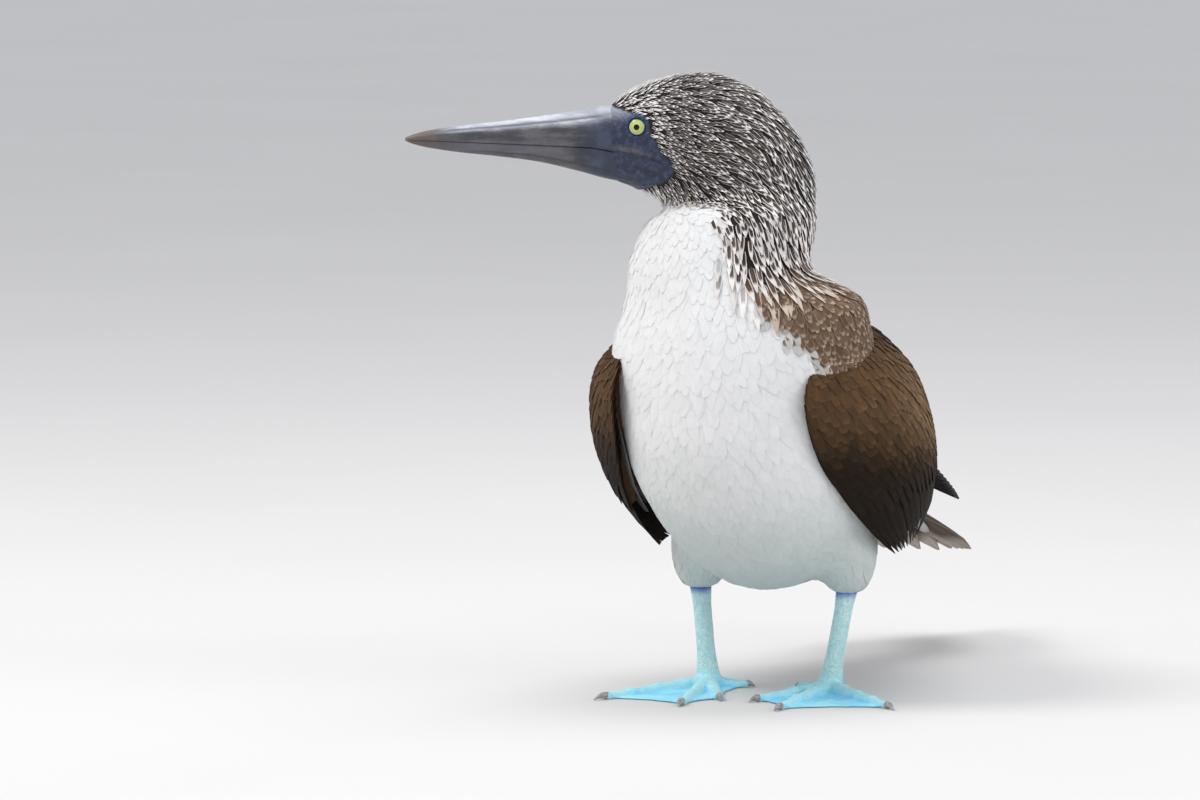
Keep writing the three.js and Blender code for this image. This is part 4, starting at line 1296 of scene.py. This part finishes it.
horn = Finish("bill_horn", Specular_IOR_Level=0.5, Coat_Weight=0.12, Coat_Roughness=0.3)
ahead, share, dent = horn.attribute("ahead"), horn.attribute("share"), horn.attribute("dent")
streaky = horn.noise(1.0, 5, 0.6, horn.stretched((55, 55, 300), (0, 0, -turn)))
blotch = horn.noise(95, 4, 0.6)
body = horn.mixed((streaky * 0.6 + blotch * 0.4).clip(0.4, 0.62), *billColours["grey"])
# painted highlight along the top of the bill, streaked, fading out before the tip
ridge = (share + blotch * 0.1).clip(0.76, 0.93) * ahead.clip(160, 140)
body = horn.mixed(ridge * 0.85, body, horn.mixed(streaky.clip(0.4, 0.65), *billColours["ridge"]))
lowerPale = share.clip(0.52, 0.3) * share.clip(0.02, 0.16) * ahead.clip(78, 96) * ahead.clip(160, 140)
body = horn.mixed(lowerPale * 0.5, body, billColours["lower"])
# the blue at the base lets most of the painted highlight through along the top
slate = (ahead + blotch * 12).clip(95, 77) * (1 - ridge * 0.75)
body = horn.mixed(slate, body, horn.mixed(blotch.clip(0.42, 0.72), *billColours["slate"]))
tip = (ahead + streaky * 10).clip(150, 166)
body = horn.mixed(tip * 0.75, body, billColours["tip"])
# painted shade darkens the grooves by their dent
horn.set("Base Color", horn.mixed(dent * 0.7, body, billColours["groove"]))
horn.set("Roughness", 0.38 + streaky * 0.22)
plates = horn.cells(1.0, "DISTANCE_TO_EDGE", horn.stretched((90, 90, 260), (0, 0, -turn)))
horn.bump(streaky * 0.7 + plates.clip(0.0, 0.06) * 0.5 + horn.noise(900, 2) * 0.2, 0.0004, 0.45)
for upper, name in ((True, "bill_upper"), (False, "bill_lower")):
    points, faces, marks = billRings(upper)
    piece = formed(name + "_horn", points, faces, horn.material, "bill_horn", name)
    for column, key in enumerate(("ahead", "share", "dent")):
        paint(piece.data, key, marks[:, column])
print("bill")

# Eyes
eyes = {
    "rings": 44,
    "round": 48,
    "from": 0.012,           # angles of the ball's first and last rings
    "to": math.pi * 0.97,
    "cornea": 0.35,
    "corneaWide": 0.5,
    "iris": 4.1,
    "pupil": 1.45,
}
eyeColours = {
    "iris": ((0.56, 0.60, 0.17), (0.42, 0.48, 0.20)),
    "rim": (0.006, 0.008, 0.014),
    "pupil": (0.002, 0.002, 0.003),
    "lid": ((0.012, 0.028, 0.075), (0.035, 0.065, 0.14)),
}
# a ring of folded skin round each eye; waves are height, number round the eye and offset
lids = {
    "steps": 120,
    "round": 26,
    "radius": 5.25,
    "wide": 1.25,
    "tall": 1.15,
    "lifted": 3.95,
    "dip": 0.55,
    "wrinkles": ((0.05, 23, 0), (0.04, 37, 1)),
    "wider": (0.15, 2, 0.6),
    "stray": (0.04, 5, 0),
    "fold": 0.07,
    "folds": 5,
    "foldTwist": 3,
}


def wave(angle, height, number, offset):
    return height * math.sin(angle * number + offset)


def lidRings(centre, out, first, second):
    rings = []
    turnRound = np.linspace(0, 2 * math.pi, lids["round"], endpoint=False)
    for step in range(lids["steps"]):
        angle = 2 * math.pi * step / lids["steps"]
        ray = first * math.cos(angle) + second * math.sin(angle)
        wrinkle = sum(wave(angle, *one) for one in lids["wrinkles"])
        wide = lids["wide"] + wave(angle, *lids["wider"]) + wrinkle
        folded = 1 + lids["fold"] * np.cos(turnRound * lids["folds"] + angle * lids["foldTwist"])
        radial = lids["radius"] + wave(angle, *lids["stray"]) + np.cos(turnRound) * wide * folded
        lifted = lids["lifted"] + np.sin(turnRound) * (lids["tall"] + wrinkle) * folded
        lifted = lifted - lids["dip"] * np.maximum(np.cos(turnRound), 0)
        rings.append(centre + np.outer(radial, ray) + np.outer(lifted, out))
    return np.array(rings)


def hoop(rings):
    # points and triangles of a tube that closes on itself
    steps, count, _ = rings.shape
    faces = []
    for i in range(steps):
        here, after = i * count, (i + 1) % steps * count
        for k in range(count):
            beside = (k + 1) % count
            faces.append([here + k, here + beside, after + beside])
            faces.append([here + k, after + beside, after + k])
    return rings.reshape(-1, 3), np.array(faces)


eyeFinish = Finish("eye", Roughness=0.2, Specular_IOR_Level=0.2, Coat_Weight=0.25, Coat_Roughness=0.02)
off = eyeFinish.attribute("off")
fibres = eyeFinish.noise(1600, 4, 0.7)
iris = eyeFinish.mixed((off + fibres * 1.4).clip(1.6, 4.2), *eyeColours["iris"])
rim = (off + fibres * 0.3).clip(eyes["iris"] - 0.45, eyes["iris"] + 0.05)
iris = eyeFinish.mixed(rim, iris, eyeColours["rim"])
pupil = off.clip(eyes["pupil"] + 0.07, eyes["pupil"] - 0.03)
eyeFinish.set("Base Color", eyeFinish.mixed(pupil, iris, eyeColours["pupil"]))
lidFinish = Finish("lid_skin", Specular_IOR_Level=0.4)
pucker = lidFinish.noise(700, 4, 0.6)
lidFinish.set("Base Color", lidFinish.mixed(pucker.clip(0.4, 0.65), *eyeColours["lid"]))
lidFinish.set("Roughness", 0.42 + pucker * 0.2)
lidFinish.bump(lidFinish.cells(1500) * 0.5 + pucker, 0.0003, 0.6)
for side, sideName in ((1, "left"), (-1, "right")):
    centre = headPoint(bird["eyeAhead"], side * bird["eyeSide"], bird["eyeHeight"])
    out = unit(headSide * side + beakLine * bird["eyeTurned"])
    first = unit(np.cross(out, [0, 0, 1.0]))
    second = np.cross(out, first)
    angles = np.linspace(0, 2 * math.pi, eyes["round"], endpoint=False)
    circle = np.outer(np.cos(angles), first) + np.outer(np.sin(angles), second)
    radius = bird["eyeRadius"]
    rings, offs = [], []
    for angle in np.linspace(eyes["from"], eyes["to"], eyes["rings"]):
        bulge = eyes["cornea"] * math.exp(-((angle / eyes["corneaWide"]) ** 2))
        front = out * (math.cos(angle) * (radius + bulge))
        rings.append(centre + front + circle * (math.sin(angle) * radius))
        offs += [math.sin(angle) * radius if angle < math.pi / 2 else radius] * eyes["round"]
    points, faces = tube(np.array(rings))
    ball = formed("eyeball_" + sideName, points, faces, eyeFinish.material, "iris", "eye_" + sideName)
    paint(ball.data, "off", np.array(offs + [0.0, radius]))
    points, faces = hoop(lidRings(centre, out, first, second))
    formed("lids_" + sideName, points, faces, lidFinish.material, "plumage_head")
print("eyes")

# Legs and webbed feet, each one skin, with claws
leg = {
    "middleBelow": -4.9,     # X, halfway between the ankles
    "y": 12,
    "ankleX": 32.2,
    "ankleHeight": 2.5,
    "top": (39.6, -2, 56),
    "voxel": 0.75,
    "smoothing": (0.4, 4),
    # half widths of the shank, across and from front to back, and what they gain towards the foot
    "half": (4.5, 5.7),
    "swell": (2.6, 2.1),
    "swellFrom": 0.6,
    "knee": 5,
    "kneeTo": 0.25,
    "steps": 40,
    "round": 28,
}
# each toe's heading from straight ahead in degrees, outwards, and its length
feet = {
    "left": {"outer": (42, 73), "middle": (0, 77), "inner": (-23, 54), "hind": (-112, 20)},
    "right": {"outer": (26, 73), "middle": (-9, 77), "inner": (-25, 54), "hind": (-110, 20)},
}
toeShape = {"root": 4.3, "tip": 2.0, "taper": 0.8, "knuckle": 0.5, "knuckleFrom": (0.08, 0.2), "centre": 0.74,
            "tall": 0.92, "steps": 44, "round": 20,
            "joints": {"outer": 4, "middle": 3, "inner": 2, "hind": 1}}
web = {
    "thick": 1.3,
    "atHeel": 1.25,
    "thinner": 0.35,
    "bottom": 0.12,
    "heel": (2.0, 2.0),
    # ripples across the web, and a free edge drawn in between toes, with small scallops
    "ripple": 0.35,
    "ripplePitch": 0.9,
    "rippleTurn": 3,
    "drawn": 0.14,
    "drawnHind": 0.34,
    "scallop": 0.5,
    "scallops": 7,
    "beforeTip": 2.5,
    "steps": 26,
    "rings": np.linspace(0.02, 1, 22),
}
claws = {"long": 9.5, "longestToe": 77, "root": 1.75, "taper": 1.6, "tip": 0.22, "over": 0.2, "arch": 1.1,
         "inToe": 1.2, "tall": 0.95, "steps": 14, "round": 14}


def toeHeading(side, degrees):
    return np.array([side * math.sin(math.radians(degrees)), -math.cos(math.radians(degrees)), 0.0])


def ankleAt(side, height):
    return np.array([side * leg["ankleX"] + leg["middleBelow"], leg["y"], height])


def roundTube(centres, across, up, widths, depths, count):
    angles = np.linspace(0, 2 * math.pi, count, endpoint=False)
    rings = (centres[:, None, :] + np.cos(angles)[None, :, None] * widths[:, None, None] * across
             + np.sin(angles)[None, :, None] * depths[:, None, None] * up)
    return tube(rings)


def shank(side):
    shares = np.linspace(0, 1, leg["steps"])
    topX, topY, topHeight = leg["top"]
    top = np.array([side * topX + bird["legsMiddle"], topY + leg["y"], topHeight])
    swell = (np.maximum(0, shares - leg["swellFrom"]) / (1 - leg["swellFrom"])) ** 2
    knee = np.maximum(0, leg["kneeTo"] - shares) * leg["knee"]
    widths, depths = (half + more * swell + knee for half, more in zip(leg["half"], leg["swell"]))
    centres = top + (ankleAt(side, leg["ankleHeight"]) - top) * shares[:, None]
    return roundTube(centres, np.array([1.0, 0, 0]), np.array([0, 1.0, 0]), widths, depths, leg["round"])


def toeTube(side, toe, degrees, length):
    heading = toeHeading(side, degrees)
    across = np.cross(heading, [0, 0, 1.0])
    shares = np.linspace(0, 1, toeShape["steps"])
    joints = toeShape["joints"][toe]
    knuckle = toeShape["knuckle"] * np.maximum(0, np.cos(shares * joints * 2 * math.pi)) ** 3
    knuckle = knuckle * ease(shares, *toeShape["knuckleFrom"])
    radius = toeShape["root"] + (toeShape["tip"] - toeShape["root"]) * shares ** toeShape["taper"] + knuckle
    up = np.array([0, 0, 1.0])
    centres = ankleAt(side, 0) + np.outer(shares * length, heading)
    centres = centres + np.outer(radius * toeShape["centre"], up)
    return roundTube(centres, across, up, radius, radius * toeShape["tall"], toeShape["round"])


def webSheet(side, toes):
    # a sheet between neighbouring toes with its free edge drawn in
    ankle = ankleAt(side, 0)
    order = ["outer", "middle", "inner", "hind"]
    rim = []
    for pair in zip(order, order[1:]):
        hind = "hind" in pair
        start, end = (ankle + toeHeading(side, degrees) * (length - web["beforeTip"])
                      for degrees, length in (toes[toe] for toe in pair))
        pull = web["drawnHind"] if hind else web["drawn"]
        drawn = (start + end) / 2 * (1 - pull) + ankle * pull
        for t in np.linspace(0, 1, web["steps"])[: None if hind else -1]:
            scallop = web["scallop"] * math.sin(t * math.pi * web["scallops"]) * math.sin(t * math.pi)
            edge = start * (1 - t) ** 2 + drawn * 2 * t * (1 - t) + end * t**2
            rim.append(edge + unit(edge - ankle) * scallop)
    rim = np.array(rim)
    heelX, heelY = web["heel"]
    heel = ankle + np.array([side * heelX, heelY, 0])
    layers = []
    for out in web["rings"]:
        ring = heel + (rim - heel) * out
        ripple = np.sin(np.arange(len(rim)) * web["ripplePitch"] + out * web["rippleTurn"])
        thick = web["thick"] * (web["atHeel"] - web["thinner"] * out)
        ring[:, 2] = thick + web["ripple"] * ripple * math.sin(out * math.pi)
        layers.append(ring)
    upper = np.array(layers)
    lower = upper.copy()
    lower[:, :, 2] = web["bottom"]
    return tube(np.concatenate([upper, lower[:, ::-1]], axis=1))


def clawTube(side, degrees, length):
    heading = toeHeading(side, degrees)
    across = np.cross(heading, [0, 0, 1.0])
    shares = np.linspace(0, 1, claws["steps"])
    long = claws["long"] * math.sqrt(length / claws["longestToe"])
    radius = claws["root"] * (1 - shares ** claws["taper"]) + claws["tip"]
    rise = toeShape["tip"] * (1 - shares) + (radius + claws["over"]) * shares
    rise = rise + claws["arch"] * shares * (1 - shares)
    reach = length - claws["inToe"] + shares * long
    centres = ankleAt(side, 0) + np.outer(reach, heading) + np.outer(rise, [0, 0, 1])
    return roundTube(centres, across, np.array([0, 0, 1.0]), radius, radius * claws["tall"], claws["round"])


legColours = {
    "web": ((0.21, 0.68, 0.98), (0.36, 0.84, 0.97)),
    "webDeep": (0.12, 0.48, 0.80),
    "toe": ((0.36, 0.76, 0.86), (0.58, 0.86, 0.84)),
    "toeDeep": (0.20, 0.54, 0.68),
    "shank": ((0.44, 0.76, 0.80), (0.68, 0.84, 0.76)),
    "cobalt": (0.045, 0.10, 0.50),
    "grime": (0.02, 0.03, 0.045),
    "claw": ((0.2, 0.2, 0.2), (0.42, 0.4, 0.37)),
}


legFinish = Finish("leg_skin", Specular_IOR_Level=0.45, Roughness=0.5, Coat_Weight=0.08, Coat_Roughness=0.35)
raised = legFinish.attribute("raised")
onToe = legFinish.attribute("onToe")
specks = legFinish.cells(210)
patch = legFinish.noise(60, 4, 0.6)
fine = legFinish.noise(420, 4, 0.7)
webTone = legFinish.mixed(patch.clip(0.35, 0.65), *legColours["web"])
webTone = legFinish.mixed(fine.clip(0.56, 0.8) * 0.45, webTone, legColours["webDeep"])
toeTone = legFinish.mixed(fine.clip(0.35, 0.75), *legColours["toe"])
toeTone = legFinish.mixed(patch.clip(0.5, 0.72) * 0.35, toeTone, legColours["toeDeep"])
footTone = legFinish.mixed(onToe, webTone, toeTone)
shankTone = legFinish.mixed(fine.clip(0.35, 0.7), *legColours["shank"])
cobalt = (raised + patch * 7).clip(50.5, 56.5)
shankTone = legFinish.mixed(cobalt, shankTone, legColours["cobalt"])
whole = legFinish.mixed((raised + patch * 3).clip(7, 14), footTone, shankTone)
grime = specks.clip(0.085, 0.05) * legFinish.noise(33, 2).clip(0.5, 0.56)
legFinish.set("Base Color", legFinish.mixed(grime * 0.85, whole, legColours["grime"]))
scales = legFinish.cells(430, "DISTANCE_TO_EDGE")
shankScales = legFinish.cells(1.0, "DISTANCE_TO_EDGE", legFinish.stretched((420, 420, 300)))
heightMap = scales.clip(0, 0.12) * 0.5 + shankScales.clip(0, 0.14) * raised.clip(6, 12) + fine * 0.25
legFinish.bump(heightMap, 0.0005, 0.6)

clawFinish = Finish("claw_horn", Specular_IOR_Level=0.5, Roughness=0.35)
rings = clawFinish.noise(1.0, 3, 0.5, clawFinish.stretched((300, 300, 900)))
clawFinish.set("Base Color", clawFinish.mixed(rings.clip(0.35, 0.7), *legColours["claw"]))
clawFinish.bump(rings, 0.0002, 0.4)

for side, sideName in ((1, "left"), (-1, "right")):
    toes = feet[sideName]
    shell = bmesh.new()
    parts = [shank(side)] + [toeTube(side, toe, *toes[toe]) for toe in toes] + [webSheet(side, toes)]
    for points, faces in parts:
        part = meshFrom("part", toScene(points), outward(points, faces))
        shell.from_mesh(part)
        bpy.data.meshes.remove(part)
    rough = bpy.data.meshes.new("leg_rough")
    shell.to_mesh(rough)
    shell.free()
    mesh = oneSkin("leg_" + sideName, rough, leg["voxel"])
    points = toBird(pointsOf(mesh))
    strength, rounds = leg["smoothing"]
    points = smoothed(mesh, points, np.full(len(points), strength), rounds)
    points[:, 2] = np.maximum(points[:, 2], 0.0)
    movePoints(mesh, toScene(points))
    piece = addObject("leg_" + sideName, mesh, legFinish.material)
    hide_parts("shank_" + sideName, "foot_" + sideName)
    # how far each point lies outside the nearest toe
    nearToe = np.full(len(points), 99.0)
    for degrees, length in toes.values():
        heading = toeHeading(side, degrees)
        away = points - ankleAt(side, 0)
        reach = np.clip(away @ heading, 0, length)
        gapTo = np.linalg.norm((away - reach[:, None] * heading)[:, :2], axis=1)
        radius = toeShape["root"] + (toeShape["tip"] - toeShape["root"]) * reach / length
        nearToe = np.minimum(nearToe, gapTo - radius)
    paint(mesh, "onToe", 1 - ease(nearToe, -0.6, 0.8))
    paint(mesh, "raised", points[:, 2])
    for toe, (degrees, length) in toes.items():
        node = f"claw_{sideName}_{toe}"
        formed(node + "_horn", *clawTube(side, degrees, length), clawFinish.material, "claw_horn", node)
print("legs")

# Floor, light and camera
studio = {
    "floorHalf": 40,
    "floorTones": ((0.62, 0.61, 0.6), (0.66, 0.65, 0.64)),
    "sky": (0.93, 0.95, 1.0, 1),
    "skyStrength": 0.84,
    "lightsAim": (0, 0, 170),
    # places and sizes in metres, power in watts
    "lights": {
        "key": {"place": (-1.1, -1.0, 2.1), "size": 1.0, "power": 28, "colour": (1.0, 0.98, 0.95)},
        "top": {"place": (0.2, 0.3, 2.2), "size": 1.4, "power": 18, "colour": (1.0, 1.0, 1.0)},
        "side": {"place": (1.9, -0.5, 0.9), "size": 1.0, "power": 8, "colour": (0.92, 0.96, 1.0)},
    },
}
half = studio["floorHalf"]
floorCorners = [[-half, -half, 0], [half, -half, 0], [half, half, 0], [-half, half, 0]]
floorMesh = meshFrom("floor", floorCorners, [[0, 1, 2, 3]])
floorFinish = Finish("floor", Roughness=0.8, Specular_IOR_Level=0.2)
floorFinish.set("Base Color", floorFinish.mixed(floorFinish.noise(3, 3), *studio["floorTones"]))
floor = bpy.data.objects.new("floor", floorMesh)
floorMesh.materials.append(floorFinish.material)
bpy.context.scene.collection.objects.link(floor)

world = bpy.data.worlds.new("studio")
world.use_nodes = True
sky = world.node_tree.nodes["Background"].inputs
sky["Color"].default_value = studio["sky"]
sky["Strength"].default_value = studio["skyStrength"]
bpy.context.scene.world = world
bpy.context.scene.view_settings.view_transform = "Standard"


def softLight(name, place, size, power, colour):
    light = bpy.data.objects.new(name, bpy.data.lights.new(name, "AREA"))
    bpy.context.scene.collection.objects.link(light)
    light.data.shape = "DISK"
    light.data.size = size
    light.data.energy = power
    light.data.color = colour
    target = Vector(toScene(np.array(studio["lightsAim"])))
    light.location = place
    light.rotation_mode = "QUATERNION"
    light.rotation_quaternion = (target - Vector(place)).to_track_quat("-Z", "Y")


for name, light in studio["lights"].items():
    softLight(name, **light)

# The camera looks from the bird's left front
view = {"azimuth": 20.0, "elevation": 5.0, "distance": 4500, "lens": 267.3, "sensor": 36, "farthest": 100,
        "across": -86, "raised": 148}
azimuth, elevation = math.radians(view["azimuth"]), math.radians(view["elevation"])
right = np.array([math.cos(azimuth), math.sin(azimuth), 0])
level = np.array([math.sin(azimuth), -math.cos(azimuth), 0])
back = level * math.cos(elevation) + np.array([0, 0, math.sin(elevation)])
upward = np.cross(back, right)
aim = right * view["across"] + upward * view["raised"]
camera = bpy.data.objects.new("camera", bpy.data.cameras.new("camera"))
bpy.context.scene.collection.objects.link(camera)
camera.data.sensor_width = view["sensor"]
camera.data.lens = view["lens"]
camera.data.clip_end = view["farthest"]
camera.matrix_world = Matrix([[*column] for column in np.column_stack([right, upward, back])]).to_4x4()
camera.location = toScene(aim + back * view["distance"])
bpy.context.scene.camera = camera
